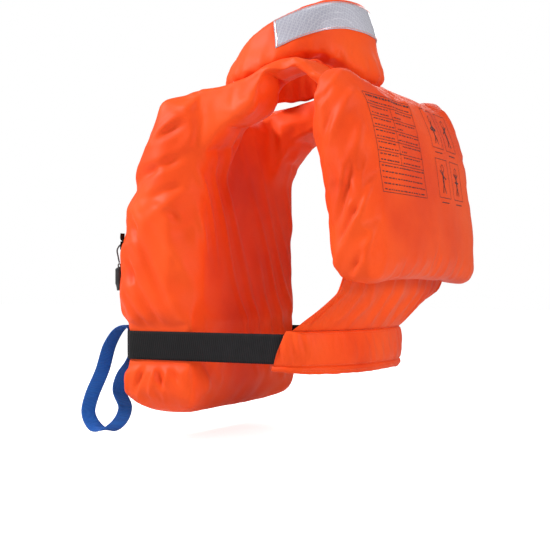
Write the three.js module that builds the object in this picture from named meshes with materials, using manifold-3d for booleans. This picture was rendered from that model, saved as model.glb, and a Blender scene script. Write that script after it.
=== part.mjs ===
import * as THREE from 'three';
import { mergeVertices } from 'three/addons/utils/BufferGeometryUtils.js';
import ManifoldModule from 'manifold-3d';

// An over-the-head foam life jacket, in millimetres. The wearer faces -Y, their left is +X, and +Z is up.
// The origin is on the neck's axis, at the height of the shoulders.

// Cloth and the clearances between the sewn pieces.
const CLOTH = 1.6;
const SEAT = 0.5;
const CORE_SPLIT = 5;
const CORE_PLAY = 1;
const CORNER = 24;
const INNER_CORNER = 3;

// Front float: height, outer face, inner face, half width, bulge of the middle.
const FRONT_HALF_WIDTH = 191;
const FRONT_BULGE = 10;
const FRONT_TOP = -10;
const BELT_FACE = -243;
const FRONT_INNER = -105;

// Webbing belt and the hardware that it carries.
const BELT_WIDTH = 48;
const BELT_THICKNESS = 1.8;
const BELT_Z = -425;
const BELT_GAP = 2.4;
const BELT_TOP = BELT_Z + BELT_WIDTH / 2;
const BELT_FOOT = BELT_Z - BELT_WIDTH / 2;

// Back float and the skirt that hangs below it.
const BACK_HALF_WIDTH = 233;
const BACK_BULGE = 11;
const BACK_FOOT = -320;
const WAIST_HALF_WIDTH = 188;
const WAIST_FRONT = 45;
const WAIST_DEPTH = 112;
const SKIRT_CLOTH = 4;
const TUNNEL_WALL = 1.6;
const HEM_DROP = 20;

// Shoulder yokes.
const YOKE_INNER = 78;
const YOKE_OUTER = 168;

// Collar: a horseshoe pillow round the neck.
const COLLAR_BASE_RADIUS = 126;
const COLLAR_RIM_RADIUS = 86;
const COLLAR_THICKNESS = 46;
const COLLAR_HEIGHT = 142;
const COLLAR_CENTRE_Y = 6;
const COLLAR_HALF_ANGLE = 152;
const TAPE_WIDTH = 50;
const TAPE_THICKNESS = 0.8;

// Lifting loop, whistle and their webbing.
const LOOP_WIDTH = 25;
const LOOP_THICKNESS = 1.6;
const LOOP_X = 148;
const WHISTLE_X = 160;
const WHISTLE_RADIUS = 7;
const WHISTLE_LENGTH = 40;
const LANYARD_RADIUS = 1.3;

const wasm = await ManifoldModule();
wasm.setup();

const group = new THREE.Group();
group.name = 'foam_life_jacket';

const ORANGE = { color: 0xff5a28, roughness: 0.62, metalness: 0 };
const LINING = { color: 0xd8401a, roughness: 0.75, metalness: 0 };
const FOAM = { color: 0xe9e6df, roughness: 0.9, metalness: 0 };
const BLACK_WEB = { color: 0x1b1a1d, roughness: 0.8, metalness: 0 };
const BLUE_WEB = { color: 0x1f5fb8, roughness: 0.7, metalness: 0 };
const PLASTIC = { color: 0x141416, roughness: 0.45, metalness: 0 };
const TAPE = { color: 0xc9cbd2, roughness: 0.3, metalness: 0 };
const CORD = { color: 0x17171a, roughness: 0.85, metalness: 0 };

// A value read off a table of [position, value, value...] rows.
function along(table, at) {
  const rising = table[0][0] < table[table.length - 1][0];
  const rows = rising ? table : [...table].reverse();
  const last = rows.length - 1;
  if (at <= rows[0][0]) return rows[0].slice(1);
  if (at >= rows[last][0]) return rows[last].slice(1);
  const upper = rows.findIndex((row) => row[0] >= at);
  const [low, high] = [rows[upper - 1], rows[upper]];
  const share = (at - low[0]) / (high[0] - low[0]);
  return low.slice(1).map((value, i) => value + (high[i + 1] - value) * share);
}

// A closed solid through rings that hold the same number of points. Each ring goes out along one side
// and back along the other, so its ends close with a strip between the two sides.
function loft(rings) {
  const count = rings[0].length;
  const points = rings.flat();
  const faces = [];
  for (let r = 0; r < rings.length - 1; r += 1) {
    for (let i = 0; i < count; i += 1) {
      const j = (i + 1) % count;
      const [a, b, c, d] = [r * count + i, r * count + j, (r + 1) * count + j, (r + 1) * count + i];
      faces.push(a, b, c, a, c, d);
    }
  }
  const last = (rings.length - 1) * count;
  for (let i = 0; i < count / 2 - 1; i += 1) {
    const [a, b, c, d] = [i, i + 1, count - 2 - i, count - 1 - i];
    faces.push(a, c, b, a, d, c);
    faces.push(last + a, last + b, last + c, last + a, last + c, last + d);
  }
  let volume = 0;
  for (let f = 0; f < faces.length; f += 3) {
    const [a, b, c] = [points[faces[f]], points[faces[f + 1]], points[faces[f + 2]]];
    volume += a[0] * (b[1] * c[2] - b[2] * c[1]) + a[1] * (b[2] * c[0] - b[0] * c[2])
      + a[2] * (b[0] * c[1] - b[1] * c[0]);
  }
  if (volume < 0) faces.reverse();
  return new wasm.Manifold(new wasm.Mesh({
    numProp: 3,
    vertProperties: new Float32Array(points.flat()),
    triVerts: new Uint32Array(faces),
  }));
}

// A rounded rectangle round (0, 0), with a corner radius for its upper and one for its lower side.
// Its long sides are divided so that they can bend.
function roundedRectangle(halfX, halfY, upper, sides = 6, lower = upper) {
  const outline = [];
  const corners = [[1, 1, upper], [-1, 1, upper], [-1, -1, lower], [1, -1, lower]];
  corners.forEach(([sx, sy, radius], k) => {
    const r = Math.min(radius, halfX * 0.95, halfY * 0.95);
    for (let i = 0; i <= 3; i += 1) {
      const angle = (k + i / 3) * Math.PI / 2;
      outline.push([sx * (halfX - r) + r * Math.cos(angle), sy * (halfY - r) + r * Math.sin(angle)]);
    }
    if (k % 2 === 0) {
      for (let i = 1; i < sides; i += 1) {
        outline.push([sx * (halfX - r) * (1 - 2 * i / sides), sy * halfY]);
      }
    }
  });
  return outline;
}

function fromGeometry(geometry) {
  geometry.deleteAttribute('normal');
  geometry.deleteAttribute('uv');
  const merged = mergeVertices(geometry, 1e-4);
  return new wasm.Manifold(new wasm.Mesh({
    numProp: 3,
    vertProperties: new Float32Array(merged.attributes.position.array),
    triVerts: new Uint32Array(merged.index.array),
  }));
}

function box(low, high) {
  const size = high.map((value, k) => value - low[k]);
  const geometry = new THREE.BoxGeometry(...size);
  geometry.translate(...high.map((value, k) => (value + low[k]) / 2));
  return fromGeometry(geometry);
}

function addNode(name, solid, finish) {
  const mesh = solid.getMesh();
  const geometry = new THREE.BufferGeometry();
  geometry.setAttribute('position', new THREE.BufferAttribute(new Float32Array(mesh.vertProperties), 3));
  geometry.setIndex(new THREE.BufferAttribute(new Uint32Array(mesh.triVerts), 1));
  const flat = geometry.toNonIndexed();
  flat.computeVertexNormals();
  const node = new THREE.Mesh(flat, new THREE.MeshStandardMaterial(finish));
  node.name = name;
  group.add(node);
}

// A strap along points, with the direction that its width runs in at each of them.
function ribbon(points, widthways, width, thickness) {
  const rings = points.map((p, i) => {
    const before = new THREE.Vector3(...points[Math.max(i - 1, 0)]);
    const after = new THREE.Vector3(...points[Math.min(i + 1, points.length - 1)]);
    const tangent = after.sub(before).normalize();
    const across = new THREE.Vector3(...(Array.isArray(widthways[0]) ? widthways[i] : widthways));
    across.addScaledVector(tangent, -across.dot(tangent)).normalize();
    const normal = new THREE.Vector3().crossVectors(tangent, across);
    return [[1, 1], [-1, 1], [-1, -1], [1, -1]].map(([a, b]) => [
      p[0] + (across.x * a * width + normal.x * b * thickness) / 2,
      p[1] + (across.y * a * width + normal.y * b * thickness) / 2,
      p[2] + (across.z * a * width + normal.z * b * thickness) / 2,
    ]);
  });
  return loft(rings);
}

// Points of a smooth curve through the given ones.
function smooth(points, count) {
  const curve = new THREE.CatmullRomCurve3(points.map((p) => new THREE.Vector3(...p)), false, 'centripetal');
  return curve.getSpacedPoints(count).map((p) => p.toArray());
}

// A float: a slab whose faces follow a table of [height, outer y, inner y, half width, bulge].
// A thickness keeps only the layer next to the inner face, and low or high 0 keeps one half.
function padRing(table, z, options) {
  const { halfShrink = 0, outerIn = 0, innerIn = 0, thickness = 0, low = -1, high = 1, split = 0 } = options;
  const [outer, inner, halfWidth, bulge] = along(table, z);
  const sense = Math.sign(outer - inner);
  const yInner = inner + sense * innerIn;
  const yOuter = thickness ? yInner + sense * thickness : outer - sense * outerIn;
  const left = low < 0 ? -(halfWidth - halfShrink) : split;
  const right = high > 0 ? halfWidth - halfShrink : -split;
  const [middleX, middleY] = [(left + right) / 2, (yOuter + yInner) / 2];
  const outerCorner = Math.max(Math.min(CORNER, Math.abs(outer - inner) * 0.45) - halfShrink, 1);
  const depth = Math.abs(yOuter - yInner) / 2;
  const sides = low * high < 0 ? 10 : 5;
  return roundedRectangle((right - left) / 2, depth, outerCorner, sides, INNER_CORNER).map(([x, y]) => {
    const px = middleX + x;
    return [px, middleY + sense * y + sense * bulge * (1 - (px / halfWidth) ** 2), z];
  });
}

function pad(table, options) {
  const inset = options.endIn || 0;
  const heights = table.map((row) => row[0]);
  const [foot, top] = [Math.min(...heights) + inset, Math.max(...heights) - inset];
  const stations = [top, ...heights.filter((z) => z < top - 1 && z > foot + 1).sort((a, b) => b - a), foot];
  return loft(stations.map((z) => padRing(table, z, options)));
}

// Outer cover, lining and a pair of foam cores of one float.
function addFloat(name, table) {
  const reach = 30;
  const fill = CLOTH + SEAT;
  const cavity = pad(table, { halfShrink: CLOTH, outerIn: CLOTH, innerIn: -reach, endIn: CLOTH });
  addNode(`${name}_cover`, pad(table, {}).subtract(cavity), ORANGE);
  addNode(`${name}_lining`, pad(table, { halfShrink: fill, endIn: fill, thickness: CLOTH }), LINING);
  const core = {
    halfShrink: fill + CORE_PLAY,
    outerIn: fill + CORE_PLAY,
    innerIn: fill + CORE_PLAY * 0.36,
    endIn: fill + CORE_PLAY,
    split: CORE_SPLIT / 2,
  };
  addNode(`${name}_foam_left`, pad(table, { ...core, low: 0 }), FOAM);
  addNode(`${name}_foam_right`, pad(table, { ...core, high: 0 }), FOAM);
}

const frontTable = [
  [FRONT_TOP, -142, FRONT_INNER - 9, FRONT_HALF_WIDTH - 27, 2],
  [FRONT_TOP - 6, -158, FRONT_INNER - 4, FRONT_HALF_WIDTH - 15, 3],
  [-32, -173, FRONT_INNER, FRONT_HALF_WIDTH - 7, 5],
  [-60, -190, FRONT_INNER, FRONT_HALF_WIDTH - 3, 7],
  [-120, -217, FRONT_INNER, FRONT_HALF_WIDTH - 1, FRONT_BULGE],
  [-195, -238, FRONT_INNER, FRONT_HALF_WIDTH, FRONT_BULGE],
  [-263, -248, FRONT_INNER, FRONT_HALF_WIDTH, FRONT_BULGE],
  [-340, -252, FRONT_INNER, FRONT_HALF_WIDTH, FRONT_BULGE],
  [BELT_TOP + 18, -250, FRONT_INNER, FRONT_HALF_WIDTH - 1, 5],
  [BELT_TOP + 3, BELT_FACE, FRONT_INNER, FRONT_HALF_WIDTH - 6, 0],
  [BELT_FOOT - 3, BELT_FACE, FRONT_INNER, FRONT_HALF_WIDTH - 6, 0],
  [BELT_FOOT - 17, -251, FRONT_INNER, FRONT_HALF_WIDTH - 1, 5],
  [-492, -254, FRONT_INNER, FRONT_HALF_WIDTH - 1, 8],
  [-514, -244, FRONT_INNER, FRONT_HALF_WIDTH - 4, 8],
  [-527, -226, FRONT_INNER - 8, FRONT_HALF_WIDTH - 12, 6],
  [-532, -208, FRONT_INNER - 20, FRONT_HALF_WIDTH - 24, 4],
];
addFloat('front', frontTable);

const backTable = [
  [10, 170, 148, BACK_HALF_WIDTH - 25, 6],
  [4, 180, 140, BACK_HALF_WIDTH - 14, 7],
  [-12, 188, 134, BACK_HALF_WIDTH - 6, 8],
  [-32, 196, 131, BACK_HALF_WIDTH - 3, 9],
  [-75, 211, 134, BACK_HALF_WIDTH, BACK_BULGE],
  [-120, 221, 140, BACK_HALF_WIDTH, BACK_BULGE],
  [-185, 230, 149, BACK_HALF_WIDTH, BACK_BULGE],
  [-240, 235, 157, BACK_HALF_WIDTH, BACK_BULGE],
  [-290, 235, 163, BACK_HALF_WIDTH - 1, BACK_BULGE],
  [BACK_FOOT + 12, 229, 168, BACK_HALF_WIDTH - 6, 9],
  [BACK_FOOT, 214, 176, BACK_HALF_WIDTH - 18, 7],
];
addFloat('back', backTable);

// A yoke goes from the back of the front float, over the shoulder, to the back float.
const yokeTable = [
  [FRONT_INNER - FRONT_BULGE - 3, -4, -150],
  [-88, -4, -102],
  [-58, -2, -68],
  [-14, 6, -52],
  [-2, 12, -44],
  [10, 19, -10],
  [20, 25, 9],
  [45, 37, 22],
  [68, 46, 31],
  [92, 36, 21],
  [115, 18, 0],
  [132, 8, -20],
  [150, 2, -32],
];
function yokeSolid(side, grow) {
  const rings = yokeTable.map(([y, top, foot], i) => {
    const taper = 10 * Math.sin(Math.PI * i / (yokeTable.length - 1));
    const [inner, outer] = [YOKE_INNER - grow, YOKE_OUTER + 6 - taper + grow];
    const outline = roundedRectangle((outer - inner) / 2, (top - foot) / 2 + grow, 6, 3);
    return outline.map(([x, z]) => [side * ((inner + outer) / 2 + x), y, (top + foot) / 2 + z]);
  });
  return loft(rings);
}
const frontSeat = pad(frontTable, { halfShrink: -SEAT, outerIn: -SEAT, innerIn: -SEAT, endIn: -SEAT });
const backSeat = pad(backTable, { halfShrink: -SEAT, outerIn: -SEAT, innerIn: -SEAT, endIn: -SEAT });
addNode('yoke_left', yokeSolid(1, 0).subtract(frontSeat).subtract(backSeat), ORANGE);
addNode('yoke_right', yokeSolid(-1, 0).subtract(frontSeat).subtract(backSeat), ORANGE);

// Plan of the waist: u runs from -1 at the wearer's right to 1 at the left.
function waist(u, out, z) {
  const angle = u * Math.PI / 2;
  const bend = (a) => [
    WAIST_HALF_WIDTH * Math.sin(a),
    WAIST_FRONT + WAIST_DEPTH * Math.max(Math.cos(a), 0) ** 0.8,
  ];
  const here = bend(angle);
  const step = 0.02;
  const [a, b] = [bend(Math.max(angle - step, -Math.PI / 2)), bend(Math.min(angle + step, Math.PI / 2))];
  const [dx, dy] = [b[0] - a[0], b[1] - a[1]];
  const length = Math.hypot(dx, dy);
  return [here[0] - dy / length * out, here[1] + dx / length * out, z];
}
const WAIST_STEPS = 40;
const waistParameters = Array.from({ length: WAIST_STEPS + 1 }, (_, i) => {
  const t = 2 * i / WAIST_STEPS - 1;
  return Math.sign(t) * (1 - (1 - Math.abs(t)) ** 1.35);
});
const TUNNEL_INSIDE = BELT_THICKNESS / 2 + SEAT * 2;
const TUNNEL_TOP = BELT_TOP + 5;
const TUNNEL_FOOT = BELT_FOOT - 4;

function sleeve(outward, top, foot) {
  return waistParameters.map((u) => (
    [[outward, foot], [outward, top], [-outward, top], [-outward, foot]]
      .map(([out, z]) => waist(u, out, z))
  ));
}
function longer(rings, by) {
  const stretch = (end, inner) => end.map((p, i) => p.map((value, k) => {
    const direction = Math.hypot(...[0, 1, 2].map((m) => p[m] - inner[i][m]));
    return value + (value - inner[i][k]) / direction * by;
  }));
  const last = rings.length - 1;
  return [stretch(rings[0], rings[1]), ...rings, stretch(rings[last], rings[last - 1])];
}
// The tunnel's mouths are cut on a slant, further back at the top.
const MOUTH_SLANT = 24;
const mouthShape = new THREE.Shape([
  new THREE.Vector2(WAIST_FRONT - 40, TUNNEL_FOOT - 5),
  new THREE.Vector2(WAIST_FRONT + 2, TUNNEL_FOOT - 5),
  new THREE.Vector2(WAIST_FRONT + 2 + MOUTH_SLANT, TUNNEL_TOP + 5),
  new THREE.Vector2(WAIST_FRONT - 40, TUNNEL_TOP + 5),
]);
const mouthGeometry = new THREE.ExtrudeGeometry(mouthShape, { depth: 3 * WAIST_HALF_WIDTH, bevelEnabled: false });
mouthGeometry.translate(0, 0, -1.5 * WAIST_HALF_WIDTH);
mouthGeometry.rotateX(Math.PI / 2);
mouthGeometry.rotateZ(Math.PI / 2);
const tunnel = loft(sleeve(TUNNEL_INSIDE + TUNNEL_WALL, TUNNEL_TOP, TUNNEL_FOOT))
  .subtract(loft(longer(sleeve(TUNNEL_INSIDE, TUNNEL_TOP - TUNNEL_WALL, TUNNEL_FOOT + TUNNEL_WALL), 4)))
  .subtract(fromGeometry(mouthGeometry));
addNode('belt_tunnel', tunnel, ORANGE);

// The skirt hangs from the back float's foot to the tunnel's top edge.
const SKIRT_TOP = BACK_FOOT - SEAT;
const SKIRT_STEPS = 5;
const SKIRT_REACH = 0.86;
function skirtPoint(u, v, out) {
  const angle = u * Math.PI / 2;
  const top = [
    (BACK_HALF_WIDTH - 14) * Math.sin(angle),
    186 + 18 * Math.cos(angle) ** 2,
  ];
  const foot = waist(u * SKIRT_REACH, 0, 0);
  const ease = v + 0.12 * Math.sin(Math.PI * v);
  const edge = 1 - 0.5 * (1 - v) * Math.abs(u) ** 6;
  const x = top[0] + (foot[0] - top[0]) * ease;
  const y = top[1] + (foot[1] - top[1]) * ease * edge;
  const reach = Math.hypot(x, y - 40);
  const z = SKIRT_TOP + (TUNNEL_TOP + SEAT - SKIRT_TOP) * v;
  return [x + x / reach * out, y + (y - 40) / reach * out, z];
}
const skirtRings = waistParameters.map((u) => {
  const outside = [];
  const inside = [];
  for (let i = 0; i <= SKIRT_STEPS; i += 1) {
    outside.push(skirtPoint(u, i / SKIRT_STEPS, SKIRT_CLOTH / 2));
    inside.unshift(skirtPoint(u, i / SKIRT_STEPS, -SKIRT_CLOTH / 2));
  }
  return [...outside, ...inside];
});
addNode('waist_skirt', loft(skirtRings), ORANGE);

// The hem is a rolled strip below the tunnel.
const hemRings = waistParameters.map((u) => {
  const top = TUNNEL_FOOT - SEAT;
  const drop = HEM_DROP * (1 - 0.55 * Math.abs(u) ** 3);
  const half = TUNNEL_INSIDE + TUNNEL_WALL;
  return [[half, top], [-half, top], [-half, top - drop], [half, top - drop]]
    .map(([out, z]) => waist(u, out, z));
});
addNode('skirt_hem', loft(hemRings), ORANGE);

// Belt: from the buckle socket round the wearer's left, through the tunnel, to the right and the front again.
const beltFront = BELT_FACE - BELT_GAP - BELT_THICKNESS / 2;
const beltSide = FRONT_HALF_WIDTH - 6 + BELT_GAP / 2 + BELT_THICKNESS / 2;
const cornerRadius = CORNER + BELT_GAP;
const SOCKET_BAR_X = 50;
const TONGUE_BAR_X = -24;
const BAR_RADIUS = 2.2;
const hardwareY = beltFront - 9.5;
function sideRun(side) {
  const points = [];
  const [cx, cy] = [beltSide - cornerRadius, beltFront + cornerRadius];
  for (let i = 0; i <= 6; i += 1) {
    const angle = -Math.PI / 2 + i / 6 * Math.PI / 2;
    points.push([side * (cx + cornerRadius * Math.cos(angle)), cy + cornerRadius * Math.sin(angle), BELT_Z]);
  }
  const clear = FRONT_INNER + SEAT * 6;
  points.push([side * beltSide, (cy + clear) / 2, BELT_Z], [side * beltSide, clear, BELT_Z]);
  for (let i = 1; i <= 3; i += 1) {
    const y = clear + (WAIST_FRONT - 6 - clear) * i / 3;
    points.push([side * (beltSide + (WAIST_HALF_WIDTH - beltSide) * i / 3), y, BELT_Z]);
  }
  return points;
}
function barTurn(barX, side) {
  const turn = [];
  const radius = BAR_RADIUS * Math.SQRT2 + SEAT + BELT_THICKNESS / 2;
  for (let i = 0; i <= 8; i += 1) {
    const angle = Math.PI / 2 - i / 8 * Math.PI;
    turn.push([barX - side * radius * Math.cos(angle), hardwareY + radius * Math.sin(angle), BELT_Z]);
  }
  return turn;
}
const socketTurn = barTurn(SOCKET_BAR_X, 1);
const socketFrontY = socketTurn[8][1];
const belt = ribbon([
  [SOCKET_BAR_X + 52, socketFrontY + 1.5, BELT_Z],
  [SOCKET_BAR_X + 26, socketFrontY, BELT_Z],
  ...socketTurn.reverse(),
  [SOCKET_BAR_X + 12, beltFront - 3.2, BELT_Z],
  [SOCKET_BAR_X + 26, beltFront, BELT_Z],
  ...sideRun(1),
  ...waistParameters.slice(1, -1).map((u) => waist(-u, 0, BELT_Z)),
  ...sideRun(-1).reverse(),
  [TONGUE_BAR_X - 4, beltFront, BELT_Z],
], [0, 0, 1], BELT_WIDTH, BELT_THICKNESS);
addNode('waist_belt', belt, BLACK_WEB);

// The belt's adjustable end goes round the tongue's bar and lies back over the belt.
const tongueTurn = barTurn(TONGUE_BAR_X, -1);
const tailFrontY = tongueTurn[8][1];
const tail = ribbon([
  [TONGUE_BAR_X - 32, beltFront - BELT_THICKNESS - SEAT, BELT_Z],
  [TONGUE_BAR_X - 18, beltFront - BELT_THICKNESS - SEAT, BELT_Z],
  ...tongueTurn,
  [TONGUE_BAR_X - 30, tailFrontY + 0.5, BELT_Z],
  [TONGUE_BAR_X - 60, tailFrontY + 3, BELT_Z],
  [TONGUE_BAR_X - 112, tailFrontY + 4, BELT_Z],
], [0, 0, 1], BELT_WIDTH, BELT_THICKNESS);
addNode('belt_tail', tail, BLACK_WEB);

// Side-release buckle. The socket is open towards the tongue, with a window in each edge.
const BUCKLE_HALF = BELT_WIDTH / 2 + 5;
const BUCKLE_THICKNESS = 13;
const SOCKET_MOUTH_X = -4;
const SOCKET_END_X = 38;
const SOCKET_WALL = 2.2;
const [buckleBack, buckleFront] = [hardwareY + BUCKLE_THICKNESS / 2, hardwareY - BUCKLE_THICKNESS / 2];

// A plate in the plane of the belt, with its outline in x and height above the belt's middle.
function plate(outline, back, front) {
  const shape = new THREE.Shape(outline.map(([x, z]) => new THREE.Vector2(x, z)));
  const geometry = new THREE.ExtrudeGeometry(shape, { depth: Math.abs(back - front), bevelEnabled: false });
  geometry.rotateX(Math.PI / 2);
  geometry.translate(0, Math.max(back, front), BELT_Z);
  return fromGeometry(geometry);
}
function frame(x0, x1, half, wall) {
  const outer = roundedRectangle((x1 - x0) / 2, half, 5, 1).map(([x, z]) => [(x0 + x1) / 2 + x, z]);
  return plate(outer, hardwareY + wall, hardwareY - wall);
}
const socketOutline = roundedRectangle((SOCKET_END_X - SOCKET_MOUTH_X) / 2, BUCKLE_HALF, 6, 1)
  .map(([x, z]) => [(SOCKET_END_X + SOCKET_MOUTH_X) / 2 + x, z]);
const barSlot = box(
  [SOCKET_END_X, buckleFront - 5, BELT_Z - BELT_WIDTH / 2 - 1],
  [SOCKET_BAR_X - BAR_RADIUS, buckleBack + 5, BELT_Z + BELT_WIDTH / 2 + 1],
);
const socketHollow = box(
  [SOCKET_MOUTH_X - 5, buckleFront + SOCKET_WALL, BELT_Z - BUCKLE_HALF + SOCKET_WALL + 1],
  [SOCKET_END_X - 4, buckleBack - SOCKET_WALL, BELT_Z + BUCKLE_HALF - SOCKET_WALL - 1],
);
const socketWindow = box(
  [SOCKET_MOUTH_X + 14, buckleFront + SOCKET_WALL, BELT_Z - BUCKLE_HALF - 5],
  [SOCKET_END_X - 9, buckleBack - SOCKET_WALL, BELT_Z + BUCKLE_HALF + 5],
);
const socketTail = frame(SOCKET_END_X - 4, SOCKET_BAR_X + BAR_RADIUS, BUCKLE_HALF, BAR_RADIUS);
addNode('buckle_socket', plate(socketOutline, buckleBack, buckleFront)
  .subtract(socketHollow)
  .subtract(socketWindow)
  .add(socketTail.subtract(socketHollow))
  .subtract(barSlot), PLASTIC);

// Tongue: a frame with its bar, a guide prong and two spring prongs with hooked ends.
const TONGUE_BASE_X = SOCKET_MOUTH_X - 1;
const PRONG_HALF = (BUCKLE_THICKNESS / 2 - SOCKET_WALL) - 0.6;
const prongEnd = SOCKET_END_X - 6;
const prongReach = BUCKLE_HALF - SOCKET_WALL - 1.6;
const tongueFrame = frame(TONGUE_BAR_X - BAR_RADIUS, TONGUE_BASE_X, BUCKLE_HALF, BAR_RADIUS);
const tongueSlot = box(
  [TONGUE_BAR_X + BAR_RADIUS, buckleFront - 5, BELT_Z - BELT_WIDTH / 2 - 1],
  [TONGUE_BASE_X - 7, buckleBack + 5, BELT_Z + BELT_WIDTH / 2 + 1],
);
const prong = (side) => plate([
  [TONGUE_BASE_X - 2, side * (prongReach - 4)],
  [TONGUE_BASE_X - 2, side * (prongReach - 10)],
  [SOCKET_MOUTH_X + 16, side * (prongReach - 8)],
  [prongEnd, side * (prongReach - 9)],
  [prongEnd, side * (prongReach - 5)],
  [SOCKET_MOUTH_X + 19, side * prongReach],
  [SOCKET_MOUTH_X + 16, side * (prongReach - 3.6)],
], hardwareY + PRONG_HALF, hardwareY - PRONG_HALF);
const guide = plate([
  [TONGUE_BASE_X - 2, -4], [prongEnd - 3, -3], [prongEnd - 3, 3], [TONGUE_BASE_X - 2, 4],
], hardwareY + PRONG_HALF, hardwareY - PRONG_HALF);
addNode('buckle_tongue', tongueFrame
  .subtract(tongueSlot)
  .add(prong(1))
  .add(prong(-1))
  .add(guide), PLASTIC);

// A moulded ring holds the belt's tail down. It slides along the belt.
const KEEPER_X = TONGUE_BAR_X - 78;
const KEEPER_WALL = 1.2;
const keeperBack = BELT_FACE - (BELT_GAP - KEEPER_WALL) / 2;
const keeperFront = tailFrontY - BELT_THICKNESS - 1;
const keeperInside = box(
  [KEEPER_X - 20, keeperFront + KEEPER_WALL, BELT_FOOT - 0.7],
  [KEEPER_X + 20, keeperBack - KEEPER_WALL, BELT_TOP + 0.7],
);
addNode('belt_keeper', box(
  [KEEPER_X - 6, keeperFront, BELT_FOOT - 2.9],
  [KEEPER_X + 6, keeperBack, BELT_TOP + 2.9],
).subtract(keeperInside), PLASTIC);

// Collar, by the angle counted from the back: how far its foot rises to clear the yokes, its rim's share
// of the height, and its fullness. Each section leans in from foot to rim.
const collarTable = [
  [0, 1.8, 1.0, 1.0],
  [18, 4.6, 0.995, 1.0],
  [34, 28, 0.985, 1.0],
  [48, 40, 0.94, 1.0],
  [62, 43, 0.87, 1.0],
  [76, 36, 0.8, 0.98],
  [90, 19, 0.72, 0.96],
  [104, 10, 0.64, 0.94],
  [118, 5, 0.54, 0.9],
  [130, 2, 0.43, 0.84],
  [141, 0, 0.29, 0.76],
  [COLLAR_HALF_ANGLE, 0, 0.2, 0.66],
];
const COLLAR_FOOT = 11;

// The slanted section at an angle: its length, half its thickness, and what places a point of it, which
// is s up from the foot and t out from the middle.
function collarSection(angle) {
  const [rise, rim, fullness] = along(collarTable, Math.abs(angle));
  const low = new THREE.Vector2(COLLAR_BASE_RADIUS, COLLAR_FOOT + rise);
  const high = new THREE.Vector2(
    COLLAR_BASE_RADIUS + (COLLAR_RIM_RADIUS - COLLAR_BASE_RADIUS) * rim,
    COLLAR_FOOT + rim * COLLAR_HEIGHT,
  );
  const up = high.clone().sub(low).normalize();
  const turn = angle * Math.PI / 180;
  const place = (s, t) => {
    const r = low.x + up.x * s + up.y * t;
    return [0.96 * r * Math.sin(turn), COLLAR_CENTRE_Y + r * Math.cos(turn), low.y + up.y * s - up.x * t];
  };
  return { length: high.distanceTo(low), half: COLLAR_THICKNESS * fullness / 2, place };
}
function collarRing(angle, { inset = 0, outerIn = 0, innerIn = 0, thickness = 0 }) {
  const { length, half, place } = collarSection(angle);
  const inner = -half + innerIn;
  const outer = thickness ? inner + thickness : half - outerIn;
  const radius = Math.max(15 - inset, 3);
  return roundedRectangle(length / 2 - inset, (outer - inner) / 2, radius, 3)
    .map(([a, b]) => place(length / 2 + a, (outer + inner) / 2 + b));
}
function collarSolid(options, shorter = 0) {
  const steps = 38;
  return loft(Array.from({ length: steps + 1 }, (_, i) => {
    const end = i === 0 || i === steps;
    const share = 2 * i / steps - 1;
    return collarRing(share * (COLLAR_HALF_ANGLE - (end ? shorter : 0)), options);
  }));
}
const yokeSeat = yokeSolid(1, SEAT).add(yokeSolid(-1, SEAT));
const collarFill = CLOTH + SEAT;
const collarOuter = collarSolid({});
const collarCavity = collarSolid({ inset: CLOTH, outerIn: CLOTH, innerIn: -20 }, 1.2);
addNode('collar_cover', collarOuter.subtract(collarCavity).subtract(yokeSeat), ORANGE);
addNode('collar_lining', collarSolid({ inset: collarFill, thickness: CLOTH }, 1.6).subtract(yokeSeat), LINING);
const coreIn = collarFill + SEAT * 2;
addNode('collar_foam', collarSolid({ inset: coreIn, outerIn: coreIn, innerIn: collarFill + SEAT * 0.9 }, 2.2)
  .subtract(yokeSeat), FOAM);

// Reflective tape round the collar's outer face, below the rim.
const TAPE_REACH = 86;
const TAPE_BELOW_RIM = 12;
const tapeRings = Array.from({ length: 29 }, (_, i) => {
  const { length, half, place } = collarSection(-TAPE_REACH + 2 * TAPE_REACH * i / 28);
  const near = half + SEAT + 0.2;
  const top = length - TAPE_BELOW_RIM;
  return [
    place(top - TAPE_WIDTH, near),
    place(top, near),
    place(top, near + TAPE_THICKNESS),
    place(top - TAPE_WIDTH, near + TAPE_THICKNESS),
  ];
});
addNode('collar_tape', loft(tapeRings), TAPE);

// Reflective patches low on the front float, one each side.
const PATCH_TOP = BELT_FOOT - 19;
const PATCH_HEIGHT = 42;
for (const [name, side] of [['left', 1], ['right', -1]]) {
  const patchFoot = PATCH_TOP - PATCH_HEIGHT;
  const between = frontTable.map((row) => row[0]).filter((z) => z < PATCH_TOP && z > patchFoot);
  const rings = [PATCH_TOP, ...between, patchFoot].map((z) => {
    const [outer, , halfWidth, bulge] = along(frontTable, z);
    const face = (x) => outer - bulge * (1 - (x / halfWidth) ** 2) - SEAT;
    const xs = [0, 1, 2, 3, 4].map((i) => 66 + i * 25);
    const near = xs.map((x) => [side * x, face(x), z]);
    const far = [...xs].reverse().map((x) => [side * x, face(x) - TAPE_THICKNESS, z]);
    return [...near, ...far];
  });
  addNode(`front_patch_${name}`, loft(rings), TAPE);
}

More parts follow.
